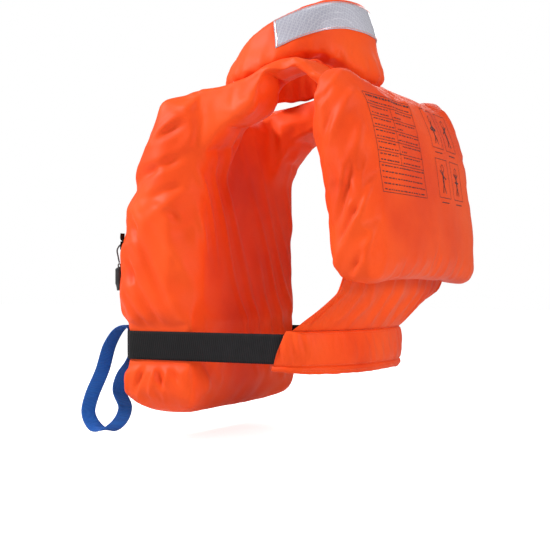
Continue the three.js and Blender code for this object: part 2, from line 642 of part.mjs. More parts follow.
// Lifting loop: blue webbing round the belt, hanging forward and down from it.
const loopPath = smooth([
  [LOOP_X, beltFront - BELT_THICKNESS - 1.2, BELT_TOP - 8],
  [LOOP_X, beltFront - 9, BELT_TOP + 7],
  [LOOP_X, beltFront - 30, BELT_TOP + 2],
  [LOOP_X + 1, beltFront - 52, BELT_TOP - 26],
  [LOOP_X + 2, beltFront - 68, BELT_TOP - 72],
  [LOOP_X + 3, beltFront - 92, BELT_TOP - 122],
  [LOOP_X + 3, beltFront - 98, BELT_TOP - 150],
  [LOOP_X + 3, beltFront - 84, BELT_TOP - 172],
  [LOOP_X + 3, beltFront - 58, BELT_TOP - 177],
  [LOOP_X + 2, beltFront - 32, BELT_TOP - 162],
  [LOOP_X + 1, beltFront - 20, BELT_TOP - 136],
  [LOOP_X, beltFront - 34, BELT_TOP - 106],
  [LOOP_X, beltFront - 27, BELT_TOP - 78],
  [LOOP_X, beltFront - 11, BELT_TOP - 56],
  [LOOP_X, beltFront - BELT_THICKNESS - 1.2, BELT_TOP - 40],
], 44);
const loopTurn = loopPath.map((_, i) => {
  const twist = -0.95 * Math.sin(Math.PI * i / (loopPath.length - 1));
  return [Math.cos(twist), Math.sin(twist), 0];
});
addNode('lifting_loop', ribbon(loopPath, loopTurn, LOOP_WIDTH, LOOP_THICKNESS), BLUE_WEB);

// Its anchor goes behind the belt and folds over both edges.
const anchorBack = BELT_FACE - SEAT - 0.5;
const anchorFront = beltFront - BELT_THICKNESS / 2 - 0.9;
addNode('loop_anchor', ribbon([
  [LOOP_X, anchorFront, BELT_TOP - 4],
  [LOOP_X, anchorFront + 0.6, BELT_TOP + 1.4],
  [LOOP_X, (anchorFront + anchorBack) / 2, BELT_TOP + 2.2],
  [LOOP_X, anchorBack - 0.3, BELT_TOP + 1.2],
  [LOOP_X, anchorBack, BELT_TOP - 4],
  [LOOP_X, anchorBack, BELT_FOOT + 4],
  [LOOP_X, anchorBack - 0.3, BELT_FOOT - 1.2],
  [LOOP_X, (anchorFront + anchorBack) / 2, BELT_FOOT - 2.2],
  [LOOP_X, anchorFront + 0.6, BELT_FOOT - 1.4],
  [LOOP_X, anchorFront, BELT_FOOT + 4],
], [1, 0, 0], LOOP_WIDTH, 0.8), BLUE_WEB);

// Whistle on a short lanyard, at the edge of the front face.
const WHISTLE_Z = -262;
const [whistleOuter, , whistleHalf, whistleBulge] = along(frontTable, WHISTLE_Z);
const whistleFace = whistleOuter - whistleBulge * (1 - (WHISTLE_X / whistleHalf) ** 2);
const whistleY = whistleFace - WHISTLE_RADIUS - 13;
addNode('whistle_tab', box(
  [WHISTLE_X - 6, whistleFace - 2.4, WHISTLE_Z - 3],
  [WHISTLE_X + 6, whistleFace - SEAT - 0.2, WHISTLE_Z + 16],
), BLACK_WEB);
const eyeZ = WHISTLE_Z - 28;
const lanyardCurve = new THREE.CatmullRomCurve3([
  [WHISTLE_X, whistleFace - 2.4 - SEAT, WHISTLE_Z + 6],
  [WHISTLE_X + 1, whistleY + 5, WHISTLE_Z + 9],
  [WHISTLE_X + 2, whistleY - 3, WHISTLE_Z],
  [WHISTLE_X + 1, whistleY - 2, WHISTLE_Z - 12],
  [WHISTLE_X, whistleY, eyeZ + 5.1],
].map((p) => new THREE.Vector3(...p)));
const lanyardShape = new THREE.Shape(Array.from({ length: 8 }, (_, i) => new THREE.Vector2(
  LANYARD_RADIUS * Math.cos(i * Math.PI / 4),
  LANYARD_RADIUS * Math.sin(i * Math.PI / 4),
)));
addNode('whistle_lanyard', fromGeometry(new THREE.ExtrudeGeometry(lanyardShape, {
  steps: 24, extrudePath: lanyardCurve, bevelEnabled: false,
})), CORD);

function turned(profile, x, y, z) {
  const geometry = new THREE.LatheGeometry(profile.map(([r, h]) => new THREE.Vector2(r, h)).reverse(), 20);
  geometry.rotateX(Math.PI / 2);
  geometry.translate(x, y, z);
  return fromGeometry(geometry);
}
const whistleTop = eyeZ - 3;
const bodyProfile = [
  [0, 0], [WHISTLE_RADIUS * 0.6, 0], [WHISTLE_RADIUS, -3], [WHISTLE_RADIUS, -WHISTLE_LENGTH + 12],
  [WHISTLE_RADIUS * 0.72, -WHISTLE_LENGTH + 6], [WHISTLE_RADIUS * 0.6, -WHISTLE_LENGTH], [0, -WHISTLE_LENGTH],
];
const whistleVent = box(
  [WHISTLE_X - 2.6, whistleY - WHISTLE_RADIUS - 2, whistleTop - 17],
  [WHISTLE_X + 2.6, whistleY - 2, whistleTop - 12],
);
const whistleBore = turned([
  [0, -8], [WHISTLE_RADIUS * 0.45, -8], [WHISTLE_RADIUS * 0.45, -WHISTLE_LENGTH - 4], [0, -WHISTLE_LENGTH - 4],
], WHISTLE_X, whistleY, whistleTop);
const eye = new THREE.TorusGeometry(3.4, 1.2, 8, 16);
eye.rotateX(Math.PI / 2);
eye.translate(WHISTLE_X, whistleY, eyeZ);
addNode('whistle_body', turned(bodyProfile, WHISTLE_X, whistleY, whistleTop)
  .subtract(whistleVent)
  .subtract(whistleBore)
  .add(fromGeometry(eye)), PLASTIC);

export default group;
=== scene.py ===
import math

import bmesh
import bpy
import numpy as np
from mathutils import Matrix, Vector, noise
from mathutils.bvhtree import BVHTree


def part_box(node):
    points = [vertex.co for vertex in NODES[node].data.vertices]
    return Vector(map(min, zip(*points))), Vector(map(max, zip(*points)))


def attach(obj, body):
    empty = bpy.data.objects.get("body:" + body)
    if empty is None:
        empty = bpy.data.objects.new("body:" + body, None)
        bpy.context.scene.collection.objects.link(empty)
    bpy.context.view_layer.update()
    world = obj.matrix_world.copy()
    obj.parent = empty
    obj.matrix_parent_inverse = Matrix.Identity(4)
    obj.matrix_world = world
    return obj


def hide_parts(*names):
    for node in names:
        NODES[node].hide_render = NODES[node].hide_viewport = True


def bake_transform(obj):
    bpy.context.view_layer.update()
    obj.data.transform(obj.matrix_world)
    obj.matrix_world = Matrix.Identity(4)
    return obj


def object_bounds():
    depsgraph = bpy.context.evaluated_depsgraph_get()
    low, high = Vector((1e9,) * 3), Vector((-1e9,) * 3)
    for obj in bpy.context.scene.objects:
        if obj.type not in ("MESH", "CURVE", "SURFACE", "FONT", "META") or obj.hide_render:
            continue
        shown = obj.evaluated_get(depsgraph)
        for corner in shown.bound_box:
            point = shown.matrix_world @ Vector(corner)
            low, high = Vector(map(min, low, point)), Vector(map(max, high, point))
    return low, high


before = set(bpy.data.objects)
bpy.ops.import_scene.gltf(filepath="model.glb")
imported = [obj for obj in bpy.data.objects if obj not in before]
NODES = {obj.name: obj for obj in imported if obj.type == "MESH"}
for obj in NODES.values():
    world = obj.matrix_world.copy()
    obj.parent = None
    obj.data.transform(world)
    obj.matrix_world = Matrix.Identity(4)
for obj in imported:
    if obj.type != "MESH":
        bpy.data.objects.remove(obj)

# A foam life jacket. Metres, the wearer faces -Y, their left is +X.
CAD_LOW, CAD_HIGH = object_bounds()

# Sizes that the CAD source sets, repeated in metres.
BELT_Z = -0.425
BELT_WIDTH = 0.048
BELT_THICKNESS = 0.0018
BELT_FRONT = -0.2463
BELT_SIDE = 0.1871
FRONT_INNER = -0.105
WAIST_HALF_WIDTH = 0.188
WAIST_FRONT = 0.045
WAIST_DEPTH = 0.112
TUNNEL_TOP = -0.396
TUNNEL_FOOT = -0.453
TUNNEL_HALF = 0.0035
SKIRT_TOP = -0.3205
LOOP_X = 0.148
LOOP_WIDTH = 0.025
WHISTLE_X = 0.160
WHISTLE_Z = -0.262
WHISTLE_FACE = -0.2508
WHISTLE_Y = -0.2708
SOCKET_BAR_X = 0.050
TONGUE_BAR_X = -0.024
BAR_RADIUS = 0.0022
BAR_Y = BELT_FRONT - 0.0095
MOUTH_SLANT = 0.024
HEM_DROP = 0.020
COLLAR_CENTRE_Y = 0.006

# Sizes of the looks alone.
SHELL_VOXEL = 0.006
COLLAR_VOXEL = 0.005
CLOTH_PLAY = 0.0006
KEEPER_PLAY = 0.0022
PATCH_THICKNESS = 0.0007
THREAD_LIFT = 0.0008
SEAM_PITCH = 0.0042
SKIRT_TUCK = 0.020
TUNNEL_CLOTH = 0.0009
CAMERA_AWAY = 2.0
CAMERA_LENS = 74.85


# ---------------------------------------------------------------- camera
def make_camera():
    data = bpy.data.cameras.new("camera")
    data.lens, data.sensor_width = CAMERA_LENS, 36
    data.shift_y = 8 / 550
    data.clip_start, data.clip_end = 0.05, 60
    camera = bpy.data.objects.new("camera", data)
    bpy.context.scene.collection.objects.link(camera)
    back = Vector((0.883, 0.469, 0)).normalized()
    right = Vector((-0.469, 0.883, 0))
    camera.location = back * CAMERA_AWAY - right * 0.044 + Vector((0, 0, -0.320))
    camera.rotation_mode = "QUATERNION"
    camera.rotation_quaternion = (-back).to_track_quat("-Z", "Y")
    bpy.context.scene.camera = camera


make_camera()


# ---------------------------------------------------------------- mesh helpers
def new_object(name, points, faces, smooth=True):
    mesh = bpy.data.meshes.new(name)
    mesh.from_pydata([tuple(p) for p in points], [], [tuple(f) for f in faces])
    mesh.validate()
    mesh.update()
    if smooth:
        mesh.polygons.foreach_set("use_smooth", [True] * len(mesh.polygons))
    obj = bpy.data.objects.new(name, mesh)
    bpy.context.scene.collection.objects.link(obj)
    return obj


def read(obj):
    co = np.empty(len(obj.data.vertices) * 3, np.float32)
    obj.data.vertices.foreach_get("co", co)
    return co.reshape(-1, 3).astype(float)


def write(obj, co):
    obj.data.vertices.foreach_set("co", co.astype(np.float32).ravel())
    obj.data.update()


def normals(obj):
    out = np.empty(len(obj.data.vertices) * 3, np.float32)
    obj.data.vertex_normals.foreach_get("vector", out)
    return out.reshape(-1, 3).astype(float)


def applied(obj):
    """The object with its modifiers made part of its mesh."""
    graph = bpy.context.evaluated_depsgraph_get()
    mesh = bpy.data.meshes.new_from_object(obj.evaluated_get(graph))
    obj.modifiers.clear()
    obj.data = mesh
    mesh.polygons.foreach_set("use_smooth", [True] * len(mesh.polygons))
    return obj


def remeshed(name, nodes, voxel):
    """One closed surface round copies of CAD nodes."""
    made = bmesh.new()
    for n in nodes:
        made.from_mesh(NODES[n].data)
    mesh = bpy.data.meshes.new(name)
    made.to_mesh(mesh)
    made.free()
    mesh.materials.clear()
    obj = bpy.data.objects.new(name, mesh)
    bpy.context.scene.collection.objects.link(obj)
    change = obj.modifiers.new("remesh", "REMESH")
    change.mode = "VOXEL"
    change.voxel_size = voxel
    return applied(obj)


def subdivided(obj, levels=1):
    change = obj.modifiers.new("smooth", "SUBSURF")
    change.levels = change.render_levels = levels
    return applied(obj)


def relax(obj, rounds, factor=0.5):
    change = obj.modifiers.new("relax", "SMOOTH")
    change.iterations, change.factor = rounds, factor
    return applied(obj)


def calmed(obj, weight, rounds):
    """Smooths only where weight says, so that broad folds stay and small creases go."""
    group = obj.vertex_groups.new(name="calm")
    for i, w in enumerate(weight):
        group.add([i], float(w), "REPLACE")
    change = obj.modifiers.new("calm", "SMOOTH")
    change.iterations, change.factor, change.vertex_group = rounds, 0.5, "calm"
    return applied(obj)


def surface_of(obj):
    mesh = obj.data
    return BVHTree.FromPolygons([v.co for v in mesh.vertices], [tuple(p.vertices) for p in mesh.polygons])


def ease(value, low, high):
    t = np.clip((np.asarray(value, float) - low) / (high - low), 0, 1)
    return t * t * (3 - 2 * t)


def bump_field(co, scale, seed):
    """Smooth noise from -1 to 1 at each point; scale is a vector of cycles per metre."""
    s = Vector(scale)
    shift = Vector((seed * 7.31, seed * 3.17, seed * 5.77))
    return np.array([noise.noise(Vector((p[0] * s.x, p[1] * s.y, p[2] * s.z)) + shift) for p in co])


def puffed(obj, pressure, slack, cap, pins, frames=20):
    """Swells the closed cloth for a few frames, with some spare cloth and its sewn lines held."""
    start = read(obj)
    group = obj.vertex_groups.new(name="pin")
    loose = 0.35
    for level, held in ((loose, (pins > 0) & (pins <= loose)), (1.0, pins > loose)):
        group.add([int(i) for i in np.nonzero(held)[0]], level, "REPLACE")
    change = obj.modifiers.new("puff", "CLOTH")
    s = change.settings
    s.effector_weights.gravity = 0
    s.use_pressure = True
    s.uniform_pressure_force = pressure
    s.vertex_group_mass = "pin"
    s.shrink_min = -slack
    s.quality = 4
    s.tension_stiffness = 20
    s.compression_stiffness = 12
    s.shear_stiffness = 8
    s.bending_stiffness = 0.3
    change.point_cache.frame_start, change.point_cache.frame_end = 1, frames
    scene = bpy.context.scene
    for f in range(1, frames + 1):
        scene.frame_set(f)
    graph = bpy.context.evaluated_depsgraph_get()
    result = obj.evaluated_get(graph).to_mesh()
    co = np.empty(len(result.vertices) * 3, np.float32)
    result.vertices.foreach_get("co", co)
    obj.modifiers.clear()
    obj.vertex_groups.clear()
    scene.frame_set(1)
    move = co.reshape(-1, 3).astype(float) - start
    length = np.linalg.norm(move, axis=1, keepdims=True)
    move *= np.minimum(1, cap / np.maximum(length, 1e-9))
    write(obj, start + move)
    return relax(obj, 3, 0.5)


def folded(obj, zones):
    """Adds families of long soft folds.

    Each is (weight of each point, along, facing, length, width, height, seed).
    """
    co, nrm = read(obj), normals(obj)
    lift = np.zeros(len(co))
    for weight, along, facing, length, width, height, seed in zones:
        along = Vector(along).normalized()
        across = np.array(along.cross(Vector(facing)).normalized())
        along = np.array(along)
        for i in np.nonzero(weight > 0.01)[0]:
            p = co[i]
            s, c = p @ along, p @ across
            warp = noise.noise(Vector(p * 7 + seed)) * 0.45
            phase = c / width + warp + s / length * 0.3
            crest = (0.5 + 0.5 * math.cos(math.tau * phase)) ** 2.2
            where = noise.noise(Vector((c / width * 0.7, s / length * 1.6, seed * 3.7)))
            lift[i] += weight[i] * height * (crest * min(max(where * 2.6 + 0.45, 0), 1) - 0.25)
    write(obj, co + nrm * lift[:, None])
    return obj


def creased(obj, creases):
    """Presses drawn creases in: (points, depth, width); a depth below zero raises a seam."""
    co, nrm = read(obj), normals(obj)
    sink = np.zeros(len(co))
    for points, depth, width in creases:
        points = np.array(points)
        spans = np.linalg.norm(np.diff(points, axis=0), axis=1)
        total, run = spans.sum(), 0.0
        nearest = np.full(len(co), 9.0)
        share = np.zeros(len(co))
        for a, b, span in zip(points, points[1:], spans):
            t = np.clip((co - a) @ (b - a) / span ** 2, 0, 1)
            away = np.linalg.norm(co - a - t[:, None] * (b - a), axis=1)
            closer = away < nearest
            nearest[closer] = away[closer]
            share[closer] = ((run + t * span) / total)[closer]
            run += span
        fade = np.sin(math.pi * np.clip(share, 0.03, 0.97)) ** 0.7
        lips = 0.45 * np.exp(-(nearest / (2.1 * width)) ** 2)
        sink += depth * fade * (1.45 * np.exp(-(nearest / width) ** 2) - lips)
    write(obj, co - nrm * sink[:, None])
    return obj


def pulled(co, pulls):
    """Moves the cloth near each point: (point, move, radius)."""
    moved = co.copy()
    for point, move, radius in pulls:
        near = np.exp(-(np.linalg.norm(co - np.array(point), axis=1) / radius) ** 2)
        moved += near[:, None] * np.array(move)
    return moved


def lofted(rings, count, base=0):
    """Faces of a closed tube through this many rings of count points each."""
    faces = []
    for r in range(rings - 1):
        a, b = base + r * count, base + (r + 1) * count
        faces += [(a + i, a + (i + 1) % count, b + (i + 1) % count, b + i) for i in range(count)]
    last = base + (rings - 1) * count
    return faces + [tuple(range(base + count - 1, base - 1, -1)), tuple(range(last, last + count))]


def outward(obj, weld=0):
    """Turns the faces outward, after joining points nearer than weld."""
    clean = bmesh.new()
    clean.from_mesh(obj.data)
    if weld:
        bmesh.ops.remove_doubles(clean, verts=clean.verts, dist=weld)
        bmesh.ops.dissolve_degenerate(clean, dist=weld, edges=clean.edges)
    bmesh.ops.recalc_face_normals(clean, faces=clean.faces)
    clean.to_mesh(obj.data)
    clean.free()
    return obj


def ribbon(name, points, widthways, width, thickness, steps=6, belly=0.15):
    """A strap with rounded edges along points, with its width's direction at each."""
    points = [Vector(p) for p in points]
    rings = []
    half = [(-1 + 2 * i / steps) for i in range(steps + 1)]
    section = [(a, 1 - belly * a ** 6) for a in half]
    section += [(a, -b) for a, b in reversed(section)]
    for i, p in enumerate(points):
        tangent = (points[min(i + 1, len(points) - 1)] - points[max(i - 1, 0)]).normalized()
        across = Vector(widthways[i] if isinstance(widthways[0], (tuple, list, Vector)) else widthways)
        across = (across - tangent * across.dot(tangent)).normalized()
        normal = tangent.cross(across)
        rings.append([p + across * (a * width / 2) + normal * (b * thickness / 2) for a, b in section])
    return new_object(name, [v for r in rings for v in r], lofted(len(rings), len(section)))


def smooth_path(points, count):
    """Evenly spaced points on a smooth curve through the given ones."""
    pts = [Vector(p) for p in points]
    pts = [pts[0] * 2 - pts[1], *pts, pts[-1] * 2 - pts[-2]]
    fine = []
    for k in range(1, len(pts) - 2):
        p0, p1, p2, p3 = pts[k - 1:k + 3]
        t0, t1 = 0.0, math.sqrt((p1 - p0).length)
        t2 = t1 + math.sqrt((p2 - p1).length)
        t3 = t2 + math.sqrt((p3 - p2).length)
        for i in range(24):
            t = t1 + (t2 - t1) * i / 24
            a1 = p0 * ((t1 - t) / (t1 - t0)) + p1 * ((t - t0) / (t1 - t0))
            a2 = p1 * ((t2 - t) / (t2 - t1)) + p2 * ((t - t1) / (t2 - t1))
            a3 = p2 * ((t3 - t) / (t3 - t2)) + p3 * ((t - t2) / (t3 - t2))
            b1 = a1 * ((t2 - t) / (t2 - t0)) + a2 * ((t - t0) / (t2 - t0))
            b2 = a2 * ((t3 - t) / (t3 - t1)) + a3 * ((t - t1) / (t3 - t1))
            fine.append(b1 * ((t2 - t) / (t2 - t1)) + b2 * ((t - t1) / (t2 - t1)))
    fine.append(pts[-2])
    at = np.concatenate([[0], np.cumsum([(b - a).length for a, b in zip(fine, fine[1:])])])
    fine = np.array(fine)
    want = np.linspace(0, at[-1], count)
    return [Vector([np.interp(w, at, fine[:, k]) for k in range(3)]) for w in want], at[-1]


def stitches(name, lines, pitch=SEAM_PITCH, length=0.0030, radius=0.00042):
    """Rows of thread stitches lying along lines of (points, normals)."""
    verts, faces = [], []
    for points, outs in lines:
        points = [Vector(p) for p in points]
        at = np.concatenate([[0], np.cumsum([(b - a).length for a, b in zip(points, points[1:])])])
        pa, oa = np.array(points), np.array([Vector(o) for o in outs])
        for k in range(int(at[-1] / pitch)):
            ends = [k * pitch + 0.4 * (pitch - length), k * pitch + 0.4 * (pitch - length) + length]
            spine = [Vector([np.interp(e, at, pa[:, j]) for j in range(3)])
                     for e in np.linspace(ends[0], ends[1], 4)]
            out = Vector([np.interp(ends[0], at, oa[:, j]) for j in range(3)]).normalized()
            along = (spine[-1] - spine[0]).normalized()
            side = out.cross(along)
            base = len(verts)
            for m, p in enumerate(spine):
                lift = (0.0, 0.9, 0.9, 0.0)[m] * radius
                r = radius * (0.55, 1, 1, 0.55)[m]
                for q in range(5):
                    a = q * math.tau / 5
                    verts.append(p + out * (lift + r * math.sin(a)) + side * (r * math.cos(a)))
            faces += lofted(4, 5, base)
    return new_object(name, verts, faces)


# ---------------------------------------------------------------- materials
class Nodes:
    """A node material being built."""

    def __init__(self, name):
        self.material = bpy.data.materials.new(name)
        self.material.use_nodes = True
        self.tree = self.material.node_tree
        self.shader = self.tree.nodes["Principled BSDF"]
        self.place = self.add("ShaderNodeTexCoord").outputs["Object"]

    def add(self, kind, **values):
        node = self.tree.nodes.new(kind)
        for key, value in values.items():
            setattr(node, key, value)
        return node

    def join(self, a, b):
        self.tree.links.new(a, b)

    def set(self, **values):
        for key, value in values.items():
            self.shader.inputs[key.replace("_", " ")].default_value = value

    def stretched(self, scale, turn=(0, 0, 0)):
        node = self.add("ShaderNodeMapping")
        node.inputs["Scale"].default_value = scale
        node.inputs["Rotation"].default_value = turn
        self.join(self.place, node.inputs["Vector"])
        return node.outputs["Vector"]

    def noise(self, scale, detail=2, vector=None, distortion=0.0):
        node = self.add("ShaderNodeTexNoise")
        node.inputs["Scale"].default_value = scale
        node.inputs["Detail"].default_value = detail
        node.inputs["Distortion"].default_value = distortion
        self.join(vector or self.place, node.inputs["Vector"])
        return node.outputs["Fac"]

    def wave(self, scale, direction, vector=None, distortion=0.0):
        node = self.add("ShaderNodeTexWave", wave_type="BANDS", bands_direction=direction)
        node.inputs["Scale"].default_value = scale
        node.inputs["Distortion"].default_value = distortion
        self.join(vector or self.place, node.inputs["Vector"])
        return node.outputs["Fac"]

    def math(self, operation, a, b=0.5):
        node = self.add("ShaderNodeMath", operation=operation)
        for socket, value in zip(node.inputs, (a, b)):
            if isinstance(value, (int, float)):
                socket.default_value = value
            else:
                self.join(value, socket)
        return node.outputs[0]

    def ramp(self, fac, stops):
        node = self.add("ShaderNodeValToRGB")
        elements = node.color_ramp.elements
        while len(elements) < len(stops):
            elements.new(0.5)
        for element, (at, colour) in zip(elements, stops):
            element.position = at
            element.color = (*colour, 1)
        self.join(fac, node.inputs["Fac"])
        return node.outputs["Color"]

    def mix(self, fac, a, b, blend="MIX"):
        node = self.add("ShaderNodeMix", data_type="RGBA", blend_type=blend)
        for socket, value in ((node.inputs["Factor"], fac), (node.inputs[6], a), (node.inputs[7], b)):
            if isinstance(value, (int, float)):
                socket.default_value = value
            elif isinstance(value, tuple):
                socket.default_value = (*value, 1)
            else:
                self.join(value, socket)
        return node.outputs[2]

    def bump(self, height, strength, distance, under=None):
        node = self.add("ShaderNodeBump")
        node.inputs["Strength"].default_value = strength
        node.inputs["Distance"].default_value = distance
        self.join(height, node.inputs["Height"])
        if under is not None:
            self.join(under, node.inputs["Normal"])
        return node.outputs["Normal"]

    def uneven(self, low, high, scale):
        """Roughness that varies between two values."""
        node = self.add("ShaderNodeMapRange")
        node.inputs["To Min"].default_value = low
        node.inputs["To Max"].default_value = high
        self.join(self.noise(scale, 2), node.inputs["Value"])
        self.join(node.outputs[0], self.shader.inputs["Roughness"])

    def colour(self, value):
        self.join(value, self.shader.inputs["Base Color"])

    def normal(self, value):
        self.join(value, self.shader.inputs["Normal"])


def nylon(name, light, mid, dark, roughness):
    """Coated woven nylon: fine weave, small crumples, and uneven sheen."""
    n = Nodes(name)
    broad = n.noise(7, 3)
    tint = n.ramp(broad, [(0.30, dark), (0.52, mid), (0.74, light)])
    fleck = n.noise(420, 1)
    n.colour(n.mix(0.10, tint, n.ramp(fleck, [(0.3, dark), (0.7, light)])))
    warp = n.wave(260, "Z")
    weft = n.wave(260, "DIAGONAL", n.stretched((1, 1, 0.0)))
    weave = n.math("MAXIMUM", warp, weft)
    crumple = n.noise(20, 2, n.stretched((1, 1, 0.6), (0.5, 0.3, 0.2)), 0.15)
    n.normal(n.bump(weave, 0.16, 0.0006, n.bump(crumple, 0.16, 0.0035)))
    n.uneven(roughness - 0.07, roughness + 0.09, 18)
    n.set(Sheen_Weight=0.02, Sheen_Roughness=0.45, Specular_IOR_Level=0.16)
    return n.material


def webbing(name, base, light, along="Z", pitch=0.0022):
    """Woven tape with fine ribs across and a herringbone in them."""
    n = Nodes(name)
    ribs = n.wave(0.314 / pitch, along)
    cross = n.wave(0.314 / (pitch * 0.55), "DIAGONAL", n.stretched((1, 1, 0.15)))
    height = n.math("ADD", ribs, n.math("MULTIPLY", cross, 0.6))
    worn = n.noise(60, 3)
    n.colour(n.mix(n.math("MULTIPLY", worn, 0.5), base, n.ramp(height, [(0.4, base), (1.0, light)])))
    n.normal(n.bump(height, 0.8, 0.0008))
    n.set(Roughness=0.78, Sheen_Weight=0.04, Sheen_Roughness=0.5, Specular_IOR_Level=0.2)
    return n.material


def moulded(name, base, light):
    """Moulded acetal: a fine spark texture and slightly glossier rubbed spots."""
    n = Nodes(name)
    n.colour(n.ramp(n.noise(45, 3), [(0.35, base), (0.8, light)]))
    n.normal(n.bump(n.noise(1600, 1), 0.18, 0.0002))
    n.uneven(0.34, 0.52, 70)
    n.set(Specular_IOR_Level=0.5)
    return n.material


def reflective(name):
    """Prismatic tape: fine cells with sealed lines between them, under a clear face, with broad painted
    patches of glare.
    """
    n = Nodes(name)
    cells = n.add("ShaderNodeTexVoronoi", feature="DISTANCE_TO_EDGE")
    cells.inputs["Scale"].default_value = 210
    cells.inputs["Randomness"].default_value = 0.25
    n.join(n.stretched((1, 1, 1), (0.3, 0.2, 0.6)), cells.inputs["Vector"])
    lines = n.ramp(cells.outputs["Distance"], [(0.0, (0.86, 0.86, 0.90)), (0.09, (0.60, 0.60, 0.67))])
    # painted glare: broad noise patches from grey to near white, multiplied into the colour, stand in for
    # the tape's uneven retroreflective glare
    painted_glare = n.ramp(n.noise(9, 2), [(0.35, (0.55, 0.55, 0.62)), (0.7, (0.95, 0.95, 1.0))])
    n.colour(n.mix(0.55, lines, painted_glare, "MULTIPLY"))
    n.normal(n.bump(cells.outputs["Distance"], 0.25, 0.0004))
    n.set(Roughness=0.24, Metallic=0.25, Coat_Weight=0.5, Coat_Roughness=0.12)
    return n.material


def braid(name, base, light):
    n = Nodes(name)
    twist = n.math("ADD", n.wave(420, "DIAGONAL"), n.wave(420, "Z"))
    n.colour(n.ramp(twist, [(0.3, base), (1.0, light)]))
    n.normal(n.bump(twist, 0.5, 0.0004))
    n.set(Roughness=0.8, Sheen_Weight=0.2)
    return n.material


def printed(name, base):
    n = Nodes(name)
    n.colour(n.ramp(n.noise(300, 2), [(0.3, base), (0.75, tuple(c * 2.2 for c in base))]))
    n.normal(n.bump(n.noise(900, 1), 0.1, 0.0002))
    n.set(Roughness=0.6, Specular_IOR_Level=0.3)
    return n.material


ORANGE = nylon("orange_nylon", (0.92, 0.100, 0.013), (0.88, 0.080, 0.009), (0.76, 0.052, 0.006), 0.50)
BLACK_WEB = webbing("black_webbing", (0.004, 0.0038, 0.0044), (0.024, 0.022, 0.026), "X", 0.0036)
BLUE_WEB = webbing("blue_webbing", (0.015, 0.10, 0.42), (0.05, 0.22, 0.62))
PLASTIC = moulded("black_acetal", (0.010, 0.010, 0.011), (0.030, 0.030, 0.033))
TAPE = reflective("reflective_tape")
BRAID = braid("black_braid", (0.008, 0.008, 0.009), (0.05, 0.05, 0.055))
THREAD = braid("orange_thread", (0.75, 0.06, 0.008), (1.0, 0.16, 0.04))
INK = printed("dark_ink", (0.035, 0.020, 0.022))


def dressed(obj, material):
    obj.data.materials.clear()
    obj.data.materials.append(material)
    return obj


# ---------------------------------------------------------------- cords
def make_lanyard():
    points, length = smooth_path([
        (WHISTLE_X, WHISTLE_FACE - 0.0029, WHISTLE_Z + 0.006),
        (WHISTLE_X + 0.001, WHISTLE_Y + 0.005, WHISTLE_Z + 0.009),
        (WHISTLE_X + 0.002, WHISTLE_Y - 0.003, WHISTLE_Z),
        (WHISTLE_X + 0.001, WHISTLE_Y - 0.002, WHISTLE_Z - 0.012),
        (WHISTLE_X, WHISTLE_Y, WHISTLE_Z - 0.028 + 0.0051),
    ], 24)
    curve = bpy.data.curves.new("whistle_cord", "CURVE")
    curve.dimensions = "3D"
    curve.bevel_depth = 0.0013
    curve.bevel_resolution = 4
    curve.use_fill_caps = True
    spline = curve.splines.new("POLY")
    spline.points.add(len(points) - 1)
    for target, p in zip(spline.points, points):
        target.co = (*p, 1)
    spline.use_smooth = True
    cord = bpy.data.objects.new("whistle_cord", curve)
    bpy.context.scene.collection.objects.link(cord)
    curve.materials.append(BRAID)
    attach(cord, "whistle")
    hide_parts("whistle_lanyard")


def make_lifting_loop():
    top = BELT_Z + BELT_WIDTH / 2
    route = [
        (0, -0.0030, -0.008), (0, -0.009, 0.007), (0, -0.030, 0.002), (0.001, -0.052, -0.026),
        (0.002, -0.068, -0.072), (0.003, -0.092, -0.122), (0.003, -0.098, -0.150), (0.003, -0.084, -0.172),
        (0.003, -0.058, -0.177), (0.002, -0.032, -0.162), (0.001, -0.020, -0.136), (0, -0.034, -0.106),
        (0, -0.027, -0.078), (0, -0.011, -0.056), (0, -0.0030, -0.040),
    ]
    points, length = smooth_path([(LOOP_X + x, BELT_FRONT + y, top + z) for x, y, z in route], 90)
    across = []
    for i in range(len(points)):
        twist = -math.sin(math.pi * i / (len(points) - 1)) * 0.95
        across.append((math.cos(twist), math.sin(twist), 0))
    loop = ribbon("lifting_loop_strap", points, across, LOOP_WIDTH, 0.0016, steps=8)
    dressed(loop, BLUE_WEB)
    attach(loop, "loop")
    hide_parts("lifting_loop")


make_lanyard()
make_lifting_loop()


# ---------------------------------------------------------------- floats and yokes
SHELL_PARTS = {
    "front": ["front_cover", "front_lining", "front_foam_left", "front_foam_right"],
    "back": ["back_cover", "back_lining", "back_foam_left", "back_foam_right"],
    "yoke_left": ["yoke_left"],
    "yoke_right": ["yoke_right"],
}


